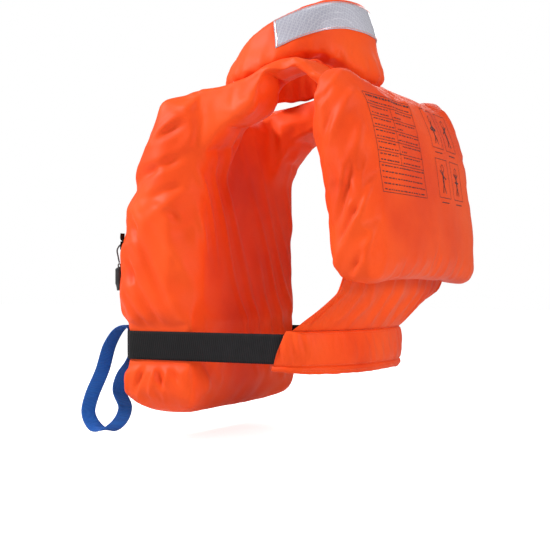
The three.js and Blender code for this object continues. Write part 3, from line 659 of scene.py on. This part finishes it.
def belt_pressed(co):
    """Keeps the front float's cloth inside the belt, and lets it swell out above and below."""
    # a wider flat strip on the front face leaves the keeper its room to slide
    spare = 0.006 * ease(-co[:, 1], 0.225, 0.240)
    band = 1 - ease(np.abs(co[:, 2] - BELT_Z) - spare, BELT_WIDTH / 2 - 0.002, BELT_WIDTH / 2 + 0.020)
    front = co[:, 1] < FRONT_INNER + 0.01
    # the keeper's back wall runs between belt and cloth on the wearer's right
    travel = ease(-co[:, 0], 0.050, 0.070) * (1 - ease(-co[:, 0], 0.165, 0.182))
    deep = BELT_FRONT + BELT_THICKNESS / 2 + CLOTH_PLAY + KEEPER_PLAY * travel
    wide = BELT_SIDE - BELT_THICKNESS / 2 - CLOTH_PLAY
    y = np.maximum(co[:, 1], deep)
    x = np.clip(co[:, 0], -wide, wide)
    corner = 0.0255
    cx, cy = wide - corner, deep + corner
    dx, dy = np.abs(x) - cx, cy - y
    far = np.hypot(dx, dy)
    over = (dx > 0) & (dy > 0) & (far > corner)
    shrink = np.where(over, corner / np.maximum(far, 1e-9), 1)
    x = np.where(over, np.sign(x) * (cx + dx * shrink), x)
    y = np.where(over, cy - dy * shrink, y)
    held = co.copy()
    held[:, 0] += (x - co[:, 0]) * band * front
    held[:, 1] += (y - co[:, 1]) * band * front
    return held


def make_shell():
    everything = [n for group in SHELL_PARTS.values() for n in group]
    shell = remeshed("shell", everything, SHELL_VOXEL)
    relax(shell, 3, 0.5)
    co = read(shell)
    belt = 1 - ease(np.abs(co[:, 2] - BELT_Z), 0.022, 0.030)
    puffed(shell, 4, 0.022, 0.010, belt * (co[:, 1] < FRONT_INNER + 0.004))
    calmed(shell, ease(normals(shell)[:, 1], 0.2, 0.6) * (read(shell)[:, 1] < FRONT_INNER + 0.012), 14)
    co = pulled(cornered(read(shell)), SHELL_PULLS)
    write(shell, belt_pressed(co))
    subdivided(shell)
    folded(shell, shell_folds(read(shell), normals(shell)))
    creased(shell, shell_creases())
    co, nrm = read(shell), normals(shell)
    ripple = 0.0016 * bump_field(co, (13, 13, 8), 1)
    write(shell, belt_pressed(co + nrm * ripple[:, None]))
    return shell


def cornered(co):
    """The front float's outer corners and the back float's foot, drawn out to their seams."""
    x, y, z = co[:, 0], co[:, 1], co[:, 2]
    front = ease(z, -0.400, -0.300) * (1 - ease(z, -0.110, -0.040))
    edge = np.hypot(np.abs(x) - 0.188, y + 0.248)
    out = front * (0.009 * np.exp(-(edge / 0.060) ** 2) + 0.008 * np.exp(-(edge / 0.022) ** 2))
    foot = np.exp(-(np.hypot(y - 0.232, z + 0.306) / 0.026) ** 2)
    seam = np.exp(-(np.hypot(np.abs(x) - 0.222, y - 0.238) / 0.024) ** 2) * (1 - ease(z, -0.06, 0.0))
    moved = co.copy()
    moved[:, 0] += np.sign(x) * (0.35 * out + 0.011 * seam)
    moved[:, 1] += 0.006 * foot - out - 0.004 * seam
    moved[:, 2] -= 0.007 * foot
    return moved


def shell_folds(co, nrm):
    """Where folds lie on the floats and yokes, and how they run."""
    y, z = co[:, 1], co[:, 2]
    front = ease(-y, 0.100, 0.112)
    side = front * ease(np.abs(nrm[:, 0]), 0.35, 0.7)
    face = front * ease(-nrm[:, 1], 0.5, 0.8)
    inner = front * ease(nrm[:, 1], 0.5, 0.8)
    above = ease(z, -0.398, -0.372)
    below = 1 - ease(z, -0.478, -0.452)
    upper = ease(z, -0.245, -0.165)
    back = ease(y, 0.125, 0.150)
    gusset = back * ease(np.abs(nrm[:, 0]), 0.3, 0.6)
    wide = back * ease(nrm[:, 1], 0.5, 0.8)
    yoke = (1 - front) * (1 - back)
    high = ease(z, -0.09, -0.02)
    low = 1 - ease(z, -0.300, -0.265)
    left, ahead, behind = (1, 0, 0), (0, -1, 0), (0, 1, 0)
    return [
        (side * upper, (0, 0.80, 0.60), left, 0.24, 0.052, 0.0034, 1),
        (side * (1 - upper) * above, (0, 0.55, -0.84), left, 0.26, 0.056, 0.0036, 2),
        (side * below, (0, -0.25, -0.97), left, 0.16, 0.026, 0.0040, 3),
        (face * upper, (0.6, 0, 0.8), ahead, 0.25, 0.060, 0.0040, 4),
        (face * (1 - upper) * above, (0.25, 0, -0.97), ahead, 0.25, 0.060, 0.0044, 5),
        (face * below, (0.1, 0, -1), ahead, 0.14, 0.028, 0.0036, 6),
        (inner * (1 - below), (0.25, 0, -0.97), ahead, 0.30, 0.070, 0.0040, 7),
        (gusset, (0, 0.42, 0.90), left, 0.20, 0.040, 0.0034, 8),
        (wide * high, (0.5, 0, 0.86), behind, 0.22, 0.066, 0.0032, 9),
        (wide * low, (0.15, 0, -0.99), behind, 0.14, 0.040, 0.0020, 10),
        (yoke, (0.1, 0.9, 0.4), (0.5, 0, 1), 0.22, 0.040, 0.0050, 11),
    ]


# creases on the wearer's left, and a looser copy of them on the right
SIDE_CREASES = [
    ([(-0.159, -0.020), (-0.110, -0.040), (-0.060, -0.052)], 0.0040, 0.008),
    ([(-0.176, -0.080), (-0.140, -0.064), (-0.102, -0.050)], 0.0040, 0.009),
    ([(-0.208, -0.143), (-0.160, -0.126), (-0.112, -0.106)], 0.0036, 0.010),
    ([(-0.190, -0.180), (-0.121, -0.157)], 0.0030, 0.009),
    ([(-0.176, -0.186), (-0.145, -0.204), (-0.112, -0.228)], 0.0040, 0.007),
    ([(-0.232, -0.200), (-0.195, -0.262), (-0.165, -0.325), (-0.136, -0.378)], 0.0050, 0.010),
    ([(-0.206, -0.196), (-0.165, -0.246), (-0.125, -0.300)], 0.0036, 0.009),
    ([(-0.240, -0.268), (-0.205, -0.330), (-0.163, -0.396)], 0.0050, 0.010),
    ([(-0.240, -0.330), (-0.190, -0.400)], 0.0040, 0.008),
    ([(-0.197, -0.452), (-0.216, -0.502)], 0.0044, 0.007),
    ([(-0.174, -0.456), (-0.155, -0.502)], 0.0044, 0.007),
    ([(-0.150, -0.454), (-0.128, -0.486)], 0.0036, 0.006),
]
GUSSET_CREASES = [
    ([(0.206, -0.130), (0.192, -0.190), (0.178, -0.245)], 0.0046, 0.008),
    ([(0.228, -0.183), (0.200, -0.225), (0.178, -0.266)], 0.0046, 0.008),
    ([(0.226, -0.270), (0.190, -0.318)], 0.0040, 0.007),
    ([(0.176, -0.012), (0.160, -0.032), (0.140, -0.050)], 0.0044, 0.008),
    ([(0.168, -0.060), (0.150, -0.110)], 0.0030, 0.008),
]
# raised seams down the outer edges of the back float and the front float
EDGE_SEAMS = [
    [(0.225, 0.236, 0.0), (0.238, 0.240, -0.10), (0.240, 0.242, -0.20), (0.234, 0.238, -0.30)],
    [(0.190, -0.235, -0.06), (0.196, -0.262, -0.16), (0.196, -0.264, -0.26), (0.192, -0.256, -0.38)],
]


def shell_creases():
    drawn = []
    for side, slip, share in ((1, 0.0, 1.0), (-1, 0.014, 0.8)):
        for x, group in ((0.194, SIDE_CREASES), (0.236, GUSSET_CREASES)):
            for points, depth, width in group:
                drawn.append(([(side * x, y + slip * math.sin(z * 40), z - slip) for y, z in points],
                              1.6 * depth * share, 0.9 * width))
        for seam in EDGE_SEAMS:
            drawn.append(([(side * x, y, z) for x, y, z in seam], -0.0040, 0.006))
    return drawn


def split_shell(shell):
    """The shell cut into its sewn parts, each with the whole surface's shading at its edge."""
    trees = {}
    for part, nodes in SHELL_PARTS.items():
        points, faces = [], []
        for n in nodes:
            base = len(points)
            points += [v.co.copy() for v in NODES[n].data.vertices]
            faces += [tuple(base + i for i in p.vertices) for p in NODES[n].data.polygons]
        trees[part] = BVHTree.FromPolygons(points, faces)
    co, nrm = read(shell), normals(shell)
    owner = []
    for p in shell.data.polygons:
        centre = p.center
        owner.append(min(trees, key=lambda k: trees[k].find_nearest(centre)[3]))
    made = {}
    for part in SHELL_PARTS:
        faces = [tuple(p.vertices) for p, o in zip(shell.data.polygons, owner) if o == part]
        used = sorted({i for f in faces for i in f})
        index = {old: new for new, old in enumerate(used)}
        obj = new_object(f"{part}_float" if part in ("front", "back") else f"{part}_pad",
                         co[used], [tuple(index[i] for i in f) for f in faces])
        obj.data.normals_split_custom_set_from_vertices([tuple(v) for v in nrm[used]])
        dressed(obj, ORANGE)
        made[part] = obj
    bpy.data.objects.remove(shell)
    return made


SHELL_PULLS = [
    # the front float's top corners stand up, and its inner edges are pinched at the arms
    ((0.186, -0.168, -0.016), (0.004, -0.010, 0.009), 0.030),
    ((-0.186, -0.168, -0.016), (-0.004, -0.010, 0.009), 0.030),
    ((0.190, -0.108, -0.228), (-0.010, -0.006, 0.0), 0.024),
    ((-0.190, -0.108, -0.240), (0.008, -0.005, 0.0), 0.024),
    ((0.178, 0.028, 0.018), (0.006, -0.006, 0.008), 0.016),
    ((0.178, 0.078, 0.036), (0.004, 0.0, 0.012), 0.016),
    ((0.175, 0.052, 0.030), (-0.006, 0.0, -0.010), 0.014),
    ((-0.178, 0.060, 0.030), (-0.004, 0.0, 0.008), 0.024),
]

shell = make_shell()
PARTS = split_shell(shell)
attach(PARTS["front"], "front")
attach(PARTS["back"], "back")
for part in ("yoke_left", "yoke_right"):
    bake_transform(PARTS[part])
for part, nodes in SHELL_PARTS.items():
    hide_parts(*nodes)


# ---------------------------------------------------------------- collar and its tape
def make_collar():
    collar = remeshed("collar_pillow", ["collar_cover", "collar_lining", "collar_foam"], COLLAR_VOXEL)
    relax(collar, 2, 0.5)
    co = read(collar)
    foot = 1 - ease(co[:, 2], 0.018, 0.040)
    puffed(collar, 3, 0.020, 0.004, foot)
    subdivided(collar)
    co, nrm = read(collar), normals(collar)
    turn = np.arctan2(co[:, 0], co[:, 1] - COLLAR_CENTRE_Y)
    radial = np.stack([np.sin(turn), np.cos(turn), 0 * turn], axis=1)
    outside = np.clip((nrm * radial).sum(axis=1), 0, 1)
    co -= radial * (0.007 * outside * np.exp(-((co[:, 2] - 0.075) / 0.030) ** 2))[:, None]
    # gathers run up from the sewn foot and die out towards the tape
    gather = np.sin(turn * 27 + 5 * bump_field(co, (7, 7, 4), 4))
    low = 1 - ease(co[:, 2], 0.035, 0.100)
    ripple = 0.0012 * bump_field(co, (18, 18, 12), 5) + 0.0007 * bump_field(co, (45, 45, 30), 6)
    write(collar, co + nrm * (0.0010 * gather * low + ripple)[:, None])
    dressed(collar, ORANGE)
    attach(collar, "collar")
    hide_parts("collar_cover", "collar_lining", "collar_foam")
    return collar


def laid_grid(tree, guides, lift, reach=0.03):
    """A grid of guide points (rows of (point, outward)) laid on a surface from outside."""
    rows, outs = [], []
    for row in guides:
        laid, out_row = [], []
        for p, out in row:
            p, out = Vector(p), Vector(out).normalized()
            hit = tree.ray_cast(p + out * reach, -out, 2 * reach)[0]
            laid.append((hit if hit is not None else p) + out * lift)
            out_row.append(out)
        rows.append(laid)
        outs.append(out_row)
    return rows, outs


def eased_rows(rows, rounds=2):
    """Evens out small dips in a laid grid."""
    grid = np.array([[tuple(p) for p in row] for row in rows])
    for _ in range(rounds):
        inner = grid.copy()
        inner[1:-1] = (grid[:-2] + grid[2:] + 2 * grid[1:-1]) / 4
        grid = inner
        inner = grid.copy()
        inner[:, 1:-1] = (grid[:, :-2] + grid[:, 2:] + 2 * grid[:, 1:-1]) / 4
        grid = inner
    return [[Vector(p) for p in row] for row in grid]


def patch(name, rows, outs, thickness):
    """A thin closed strip from a laid grid."""
    count = len(rows[0])
    top = [p + o * thickness for row, out in zip(rows, outs) for p, o in zip(row, out)]
    under = [p for row in rows for p in row]
    size = len(top)
    faces = []
    for r in range(len(rows) - 1):
        for c in range(count - 1):
            a, b, d, e = r * count + c, r * count + c + 1, (r + 1) * count + c + 1, (r + 1) * count + c
            faces += [(a, b, d, e), (size + e, size + d, size + b, size + a)]
    edge = [*range(count)] + [r * count + count - 1 for r in range(1, len(rows))]
    edge += [(len(rows) - 1) * count + c for c in range(count - 2, -1, -1)]
    edge += [r * count for r in range(len(rows) - 2, 0, -1)]
    for a, b in zip(edge, edge[1:] + edge[:1]):
        faces.append((b, a, size + a, size + b))
    return outward(new_object(name, top + under, faces))


def column(rows, c, inset, outs):
    """A line along the grid, inset from one of its edges."""
    n = len(rows[0]) - 1
    at = inset if c == 0 else n - inset
    low = int(at)
    part = at - low
    high = min(low + 1, n)
    return [row[low].lerp(row[high], part) for row in rows], [out[low] for out in outs]


def sewn_edges(name, rows, outs, inset, body):
    """Rows of thread just inside a patch's four edges."""
    lines = []
    for c in (0, 1):
        line, out = column(rows, c, inset, outs)
        lines.append(([p + o * THREAD_LIFT for p, o in zip(line, out)], out))
    for r in (1, len(rows) - 2):
        lines.append(([p + o * THREAD_LIFT for p, o in zip(rows[r], outs[r])], outs[r]))
    sewn(name, lines, body)


def sewn(name, lines, body):
    thread = stitches(name, lines)
    dressed(thread, THREAD)
    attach(thread, body)


def make_collar_tape(collar):
    tree = surface_of(collar)
    source = NODES["collar_tape"].data
    # the tape's own outer corners, in order round the collar
    points = {}
    for v in source.vertices:
        turn = math.atan2(v.co.x / 0.96, v.co.y - COLLAR_CENTRE_Y)
        points.setdefault(round(math.degrees(turn)), []).append(v.co.copy())
    guides = []
    for turn in sorted(points):
        group = points[turn]
        top = max(group, key=lambda p: p.z)
        foot = min(group, key=lambda p: p.z)
        guides.append((turn, foot, top))
    fine = []
    turns = [g[0] for g in guides]
    for t in np.linspace(turns[0], turns[-1], 113):
        foot = Vector([np.interp(t, turns, [g[1][k] for g in guides]) for k in range(3)])
        top = Vector([np.interp(t, turns, [g[2][k] for g in guides]) for k in range(3)])
        a = math.radians(t)
        radial = Vector((math.sin(a), math.cos(a), 0))
        up = (top - foot).normalized()
        out = radial - up * radial.dot(up)
        row = []
        for s in np.linspace(0, 1, 17):
            turn = Matrix.Rotation(-0.07 * (s - 0.5) * t / turns[-1], 3, "Z")
            row.append((turn @ foot.lerp(top, s), turn @ out))
        fine.append(row)
    rows, outs = laid_grid(tree, fine, 0.0007)
    rows = eased_rows(rows)
    tape = patch("collar_reflector", rows, outs, PATCH_THICKNESS)
    dressed(tape, TAPE)
    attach(tape, "collar")
    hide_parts("collar_tape")
    sewn_edges("collar_tape_thread", rows, outs, 0.7, "collar")


collar = make_collar()
make_collar_tape(collar)


# ---------------------------------------------------------------- skirt, belt tunnel and hem
def waist(u, out, z):
    """A point of the waist's plan; u runs from -1 at the wearer's right to 1 at the left."""
    def bend(a):
        return WAIST_HALF_WIDTH * math.sin(a), WAIST_FRONT + WAIST_DEPTH * max(math.cos(a), 0) ** 0.8
    angle = u * math.pi / 2
    x, y = bend(angle)
    ax, ay = bend(max(angle - 0.02, -math.pi / 2))
    bx, by = bend(min(angle + 0.02, math.pi / 2))
    size = math.hypot(bx - ax, by - ay)
    return Vector((x - (by - ay) / size * out, y + (bx - ax) / size * out, z))


def skirt_point(u, v, out):
    angle = u * math.pi / 2
    top = (0.219 * math.sin(angle), 0.186 + 0.018 * math.cos(angle) ** 2)
    foot = waist(u * 0.86, 0, 0)
    rise = v + 0.12 * math.sin(math.pi * v)
    edge = 1 - 0.5 * (1 - v) * abs(u) ** 6
    x = top[0] + (foot.x - top[0]) * rise
    y = top[1] + (foot.y - top[1]) * rise * edge
    reach = math.hypot(x, y - 0.04)
    z = SKIRT_TOP + (TUNNEL_TOP + 0.0005 - SKIRT_TOP) * v + SKIRT_TUCK * (1 - ease(v, 0, 0.22))
    return Vector((x + x / reach * out, y + (y - 0.04) / reach * out, z))


def across(count, power=1.35):
    for i in range(count + 1):
        t = 2 * i / count - 1
        yield math.copysign(1 - (1 - abs(t)) ** power, t)


def wobble(x, y, seed):
    return noise.noise(Vector((x, y, seed * 3.7)))


def make_skirt():
    rows, outs = [], []
    for u in across(220):
        row, out_row = [], []
        for j in range(25):
            v = j / 24
            billow = 0.009 * math.sin(math.pi * v) ** 0.8
            gather = 0.0028 * wobble(u * 20, v * 1.0, 1) * v ** 0.6 * (1 - v) ** 0.25
            turns = u * 6.5 - abs(u) * v * 1.7 + 0.35 * wobble(u * 5, v * 2, 2)
            pleat = (0.5 + 0.5 * math.sin(math.tau * turns)) ** 2
            slant = (0.0075 * pleat - 0.003) * math.sin(math.pi * v) ** 0.6
            fine = 0.0012 * wobble(u * 48 + v * 3, v * 3, 3) * math.sin(math.pi * v) ** 0.5
            here = skirt_point(u, v, 0)
            near = skirt_point(u, v, 0.001)
            out = (near - here).normalized()
            row.append(here + out * (billow + gather + slant + fine))
            out_row.append(out)
        rows.append(row)
        outs.append(out_row)
    skirt = patch("waist_skirt_cloth", rows, outs, 0.0016)
    dressed(skirt, ORANGE)
    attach(skirt, "back")
    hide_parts("waist_skirt")


def make_tunnel():
    """A flattened tube of cloth round the belt, open and slanted at both mouths."""
    steps = 200
    section = 18
    rings = []
    for u in across(steps):
        ring = []
        for k in range(section + 1):
            s = k / section
            z = TUNNEL_TOP + (TUNNEL_FOOT - TUNNEL_TOP) * s
            puff = math.sin(math.pi * s) ** 0.45
            crumple = 0.0024 * wobble(u * 24 + s * 1.5, s * 1.6, 5) + 0.0008 * wobble(u * 70, s * 4, 6)
            ring.append((z, (TUNNEL_HALF + 0.0012) * puff + TUNNEL_CLOTH + crumple * puff))
        rings.append((u, ring))
    outer, inner = [], []
    for u, ring in rings:
        out_row, in_row = [], []
        for z, out in ring:
            rise = (z - TUNNEL_FOOT + 0.005) / (TUNNEL_TOP - TUNNEL_FOOT + 0.010)
            start = WAIST_FRONT + 0.002 + MOUTH_SLANT * rise
            p, q = waist(u, out, z), waist(u, -out, z)
            if p.y < start:
                end = math.copysign(shut(start), u)
                p, q = waist(end, out, z), waist(end, -out, z)
            out_row.append(p)
            in_row.append(q)
        outer.append(out_row)
        inner.append(in_row)
    count = section + 1
    verts = [p for row in outer for p in row] + [p for row in inner for p in row]
    size = len(outer) * count
    faces = []
    for r in range(len(outer) - 1):
        for c in range(section):
            a, b, d, e = r * count + c, (r + 1) * count + c, (r + 1) * count + c + 1, r * count + c + 1
            faces += [(a, b, d, e), (size + e, size + d, size + b, size + a)]
        for c in (0, section):
            a, b = r * count + c, (r + 1) * count + c
            quad = (a, size + a, size + b, b)
            faces.append(quad if c == 0 else quad[::-1])
    tube = outward(new_object("belt_sleeve", verts, faces), 0.00005)
    thick = tube.modifiers.new("cloth", "SOLIDIFY")
    thick.thickness, thick.offset = TUNNEL_CLOTH, -1
    applied(tube)
    dressed(tube, ORANGE)
    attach(tube, "back")
    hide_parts("belt_tunnel")


def shut(y):
    """How far round, from 0 at the back to 1 at the side, the waist's plan reaches this y."""
    share = max(min((y - WAIST_FRONT) / WAIST_DEPTH, 1), 0)
    return math.acos(share ** (1 / 0.8)) * 2 / math.pi


def make_hem():
    count = 12
    rows = []
    for u in across(200):
        drop = HEM_DROP * (1 - 0.35 * (1 - u * u) - 0.55 * abs(u) ** 3)
        row = []
        for k in range(count):
            a = math.tau * k / count
            roll = 0.0010 * wobble(u * 26, math.cos(a) + math.sin(a), 8)
            out = 0.0034 * math.cos(a) + roll
            z = TUNNEL_FOOT + 0.0012 - drop / 2 + drop / 2 * math.sin(a) * 0.98
            row.append(waist(u, out, z + 0.0012 * wobble(u * 14, 0.3, 9) * (1 - math.sin(a)) / 2))
        rows.append(row)
    hem = outward(new_object("hem_roll", [p for row in rows for p in row], lofted(len(rows), count)))
    dressed(hem, ORANGE)
    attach(hem, "back")
    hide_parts("skirt_hem")


def make_skirt_thread():
    lines = []
    for z, inside in (
        (TUNNEL_TOP - 0.0035, 0.0034),
        (TUNNEL_FOOT + 0.0035, 0.0034),
        (TUNNEL_FOOT - 0.006, 0.0036),
    ):
        points, outs = [], []
        for i in range(161):
            u = -0.80 + 1.60 * i / 160
            p = waist(u, inside, z)
            points.append(p)
            outs.append((p - waist(u, 0, z)).normalized())
        lines.append((points, outs))
    sewn("skirt_thread", lines, "back")


make_skirt()
make_tunnel()
make_hem()
make_skirt_thread()


# ---------------------------------------------------------------- belt
def round_bar(bar, side):
    """The webbing's half turn round a bar of the buckle, as (x, y)."""
    turn = BAR_RADIUS * math.sqrt(2) + 0.0005 + BELT_THICKNESS / 2
    angles = [math.pi / 2 - k / 10 * math.pi for k in range(11)]
    return [(bar + side * turn * math.cos(a), BAR_Y + turn * math.sin(a)) for a in angles]


def belt_route():
    radius = 0.0264
    cx, cy = BELT_SIDE - radius, BELT_FRONT + radius
    bar = SOCKET_BAR_X
    loop = round_bar(bar, -1)
    front_y = loop[-1][1]
    route = [(bar + 0.052, front_y + 0.0015), (bar + 0.039, front_y + 0.0005), (bar + 0.026, front_y)]
    route += [*reversed(loop), (bar + 0.012, BELT_FRONT - 0.0032), (bar + 0.026, BELT_FRONT)]

    def side_run(side):
        run = []
        for k in range(13):
            a = k / 12 * math.pi / 2
            run.append((side * (cx + radius * math.sin(a)), cy - radius * math.cos(a)))
        clear = FRONT_INNER + 0.003
        end = WAIST_FRONT - 0.006
        for k in range(1, 9):
            run.append((side * BELT_SIDE, cy + (clear - cy) * k / 8))
        for k in range(1, 9):
            x = BELT_SIDE + (WAIST_HALF_WIDTH - BELT_SIDE) * k / 8
            run.append((side * x, clear + (end - clear) * k / 8))
        return run
    route += [(x, BELT_FRONT) for x in np.linspace(bar + 0.040, cx - 0.012, 8)] + side_run(1)
    for u in list(across(90))[1:-1]:
        p = waist(-u, 0, 0)
        route.append((p.x, p.y))
    route += side_run(-1)[::-1] + [(x, BELT_FRONT) for x in np.linspace(-cx + 0.012, -0.028, 14)]
    return [Vector((x, y, BELT_Z)) for x, y in route]


def make_belt():
    route = belt_route()
    belt = ribbon("waist_webbing", route, (0, 0, 1), BELT_WIDTH, BELT_THICKNESS, steps=10)
    dressed(belt, BLACK_WEB)
    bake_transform(belt)
    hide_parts("waist_belt")


def make_tail():
    bar = TONGUE_BAR_X
    loop = round_bar(bar, 1)
    front_y = loop[-1][1]
    under = BELT_FRONT - BELT_THICKNESS - 0.0005
    route = [(bar - 0.032, under), (bar - 0.018, under), *loop, (bar - 0.014, front_y + 0.0002)]
    for k in range(8):
        route.append((bar - 0.030 - 0.0117 * k, front_y + 0.0005 + 0.0035 * math.sin(k / 7 * math.pi / 2)))
    tail = ribbon("tail_webbing", [Vector((x, y, BELT_Z)) for x, y in route], (0, 0, 1), BELT_WIDTH,
                  BELT_THICKNESS, steps=10)
    dressed(tail, BLACK_WEB)
    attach(tail, "tongue")
    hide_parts("belt_tail")


make_belt()
make_tail()

for name in ("buckle_socket", "buckle_tongue", "belt_keeper", "whistle_body"):
    node = NODES[name]
    node.data.materials.clear()
    node.data.materials.append(PLASTIC)
    weld = node.modifiers.new("weld", "WELD")
    weld.merge_threshold = 0.00002
    edge = node.modifiers.new("edge", "BEVEL")
    edge.width, edge.segments, edge.limit_method = 0.0006, 2, "ANGLE"
    edge.angle_limit = math.radians(35)
anchor = NODES["loop_anchor"]
anchor.data.materials.clear()
anchor.data.materials.append(BLUE_WEB)


# ---------------------------------------------------------------- sewn-on pieces
front_tree = surface_of(PARTS["front"])
back_tree = surface_of(PARTS["back"])


def make_front_patches():
    for name in ("left", "right"):
        low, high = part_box(f"front_patch_{name}")
        guides = [[(Vector((x, low.y, z)), (0, -1, 0)) for z in np.linspace(low.z, high.z, 17)]
                  for x in np.linspace(low.x, high.x, 33)]
        rows, outs = laid_grid(front_tree, guides, 0.0006)
        rows = eased_rows(rows, 3)
        piece = patch(f"front_reflector_{name}", rows, outs, PATCH_THICKNESS)
        dressed(piece, TAPE)
        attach(piece, "front")
        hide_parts(f"front_patch_{name}")
        sewn_edges(f"front_reflector_thread_{name}", rows, outs, 0.9, "front")


def make_whistle_tab():
    low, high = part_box("whistle_tab")
    hit = front_tree.ray_cast(Vector((WHISTLE_X, -0.4, WHISTLE_Z + 0.012)), Vector((0, 1, 0)))[0]
    face = hit.y if hit is not None else high.y
    front = WHISTLE_FACE - 0.0026
    middle = (face + front) / 2
    route = [
        (face - 0.0004, high.z + 0.012), (face - 0.0008, high.z + 0.002), (middle - 0.0006, high.z - 0.003),
        (front, WHISTLE_Z + 0.006), (front + 0.0004, WHISTLE_Z + 0.001), (middle, low.z - 0.0005),
        (face - 0.0006, low.z + 0.0025), (face - 0.0003, high.z - 0.002),
    ]
    points = smooth_path([(WHISTLE_X, y, z) for y, z in route], 28)[0]
    tab = ribbon("whistle_loop_tab", points, (1, 0, 0), 0.012, 0.0010, steps=6)
    dressed(tab, BLACK_WEB)
    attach(tab, "front")
    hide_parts("whistle_tab")


make_front_patches()
make_whistle_tab()


# ---------------------------------------------------------------- print on the back
def make_print():
    """A ruled panel on the left half of the back and four simple signs on the right, as thin ink."""
    verts, faces = [], []

    def strip(x0, z0, x1, z1, width):
        start, end = Vector((x0, z0)), Vector((x1, z1))
        along = (end - start).normalized()
        side = Vector((-along.y, along.x)) * width / 2
        count = max(int((end - start).length / 0.0022), 1)
        base = len(verts)
        for k in range(count + 1):
            p = start.lerp(end, k / count)
            for q in (p - side, p + side):
                hit = back_tree.ray_cast(Vector((q.x, 0.4, q.y)), Vector((0, -1, 0)))[0]
                y = hit.y if hit is not None else 0.24
                verts.append(Vector((q.x, y + 0.00045, q.y)))
            if k:
                a = base + 2 * k
                faces.append((a - 2, a - 1, a + 1, a))

    def box_of(x0, z0, x1, z1, width=0.0009):
        for a, b, c, d in ((x0, z0, x1, z0), (x1, z0, x1, z1), (x1, z1, x0, z1), (x0, z1, x0, z0)):
            strip(a, b, c, d, width)

    def ring(cx, cz, r, width=0.0012, start=0, sweep=math.tau):
        steps = max(int(20 * sweep / math.tau), 4)
        dots = [(cx + r * math.cos(start + sweep * k / steps), cz + r * math.sin(start + sweep * k / steps))
                for k in range(steps + 1)]
        for a, b in zip(dots, dots[1:]):
            strip(*a, *b, width)

    left, right, top = 0.202, 0.040, -0.030
    rows = 17
    pitch = 0.0090
    for k in range(rows + 1):
        if k in (0, 2, 4, 6, 8, 10, 12, rows):
            strip(left, top - k * pitch, right, top - k * pitch, 0.0008)
    foot = top - rows * pitch
    for x in (left, right):
        strip(x, top, x, foot, 0.0008)
    strip(0.128, top - 2 * pitch, 0.128, top - 12 * pitch, 0.0008)
    rank = np.random.default_rng(11)
    for k in range(rows):
        z = top - (k + 0.5) * pitch
        x = left - 0.006
        while x > right + 0.010:
            size = float(rank.uniform(0.003, 0.010))
            if not (abs(x - size / 2 - 0.128) < 0.008 and 2 <= k < 12):
                strip(x, z, x - size, z, 0.0016 if k else 0.0030)
            x -= size + float(rank.uniform(0.002, 0.0045))
            if k in (3, 5, 9) and x < 0.100:
                break
    for row in range(2):
        for col in range(2):
            x, z = -0.050 - col * 0.075, -0.062 - row * 0.085
            box_of(x + 0.028, z + 0.036, x - 0.028, z - 0.030)
            ring(x, z + 0.020, 0.0062)
            strip(x, z + 0.013, x, z - 0.006, 0.0050)
            strip(x, z + 0.008, x + 0.013, z + (0.016 if row else 0.002), 0.0022)
            strip(x, z + 0.008, x - 0.013, z + (0.016 if col else 0.002), 0.0022)
            strip(x, z - 0.006, x + 0.007, z - 0.022, 0.0024)
            strip(x, z - 0.006, x - 0.007, z - 0.022, 0.0024)
            if row == col:
                strip(x + 0.011, z + 0.001, x - 0.011, z + 0.001, 0.0028)
            strip(x + 0.020, z - 0.038, x - 0.016, z - 0.038, 0.0014)
    ink = new_object("back_print", verts, faces, smooth=True)
    dressed(ink, INK)
    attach(ink, "back")


make_print()


# ---------------------------------------------------------------- floor and light
def make_stage():
    corners = [(-9, -9, 0), (9, -9, 0), (9, 9, 0), (-9, 9, 0)]
    floor = new_object("floor", corners, [(0, 1, 2, 3)], smooth=False)
    floor.location.z = CAD_LOW.z - 0.005
    ground = Nodes("pale_floor")
    ground.colour(ground.ramp(ground.noise(3, 2), [(0.0, (0.80, 0.80, 0.80)), (1.0, (0.84, 0.84, 0.84))]))
    ground.set(Roughness=0.7, Emission_Color=(1, 1, 1, 1))
    seen = ground.add("ShaderNodeLightPath").outputs["Is Camera Ray"]
    ground.join(ground.math("MULTIPLY", seen, 0.78), ground.shader.inputs["Emission Strength"])
    floor.data.materials.append(ground.material)
    world = bpy.data.worlds.new("studio")
    world.use_nodes = True
    tree = world.node_tree
    soft = tree.nodes["Background"]
    soft.inputs["Color"].default_value = (1, 1, 1, 1)
    soft.inputs["Strength"].default_value = 0.34
    plain = tree.nodes.new("ShaderNodeBackground")
    plain.inputs["Strength"].default_value = 1.0
    path = tree.nodes.new("ShaderNodeLightPath")
    choose = tree.nodes.new("ShaderNodeMixShader")
    tree.links.new(path.outputs["Is Camera Ray"], choose.inputs[0])
    tree.links.new(soft.outputs[0], choose.inputs[1])
    tree.links.new(plain.outputs[0], choose.inputs[2])
    tree.links.new(choose.outputs[0], tree.nodes["World Output"].inputs["Surface"])
    plain.inputs["Color"].default_value = (1, 1, 1, 1)
    bpy.context.scene.world = world
    bpy.context.scene.view_settings.view_transform = "Standard"
    middle = Vector((0, 0, -0.3))
    for name, place, size, power in (
        ("key", (1.3, -1.8, 1.2), 0.6, 60),
        ("fill", (1.1, 2.3, 0.7), 1.2, 34),
        ("top", (0.0, 0.2, 2.2), 1.4, 8),
        ("rim", (-1.6, -0.6, 0.9), 1.2, 12),
    ):
        data = bpy.data.lights.new(name, "AREA")
        data.shape, data.size, data.energy = "DISK", size, power
        light = bpy.data.objects.new(name, data)
        light.location = place
        light.rotation_mode = "QUATERNION"
        light.rotation_quaternion = (middle - Vector(place)).to_track_quat("-Z", "Y")
        bpy.context.scene.collection.objects.link(light)


make_stage()
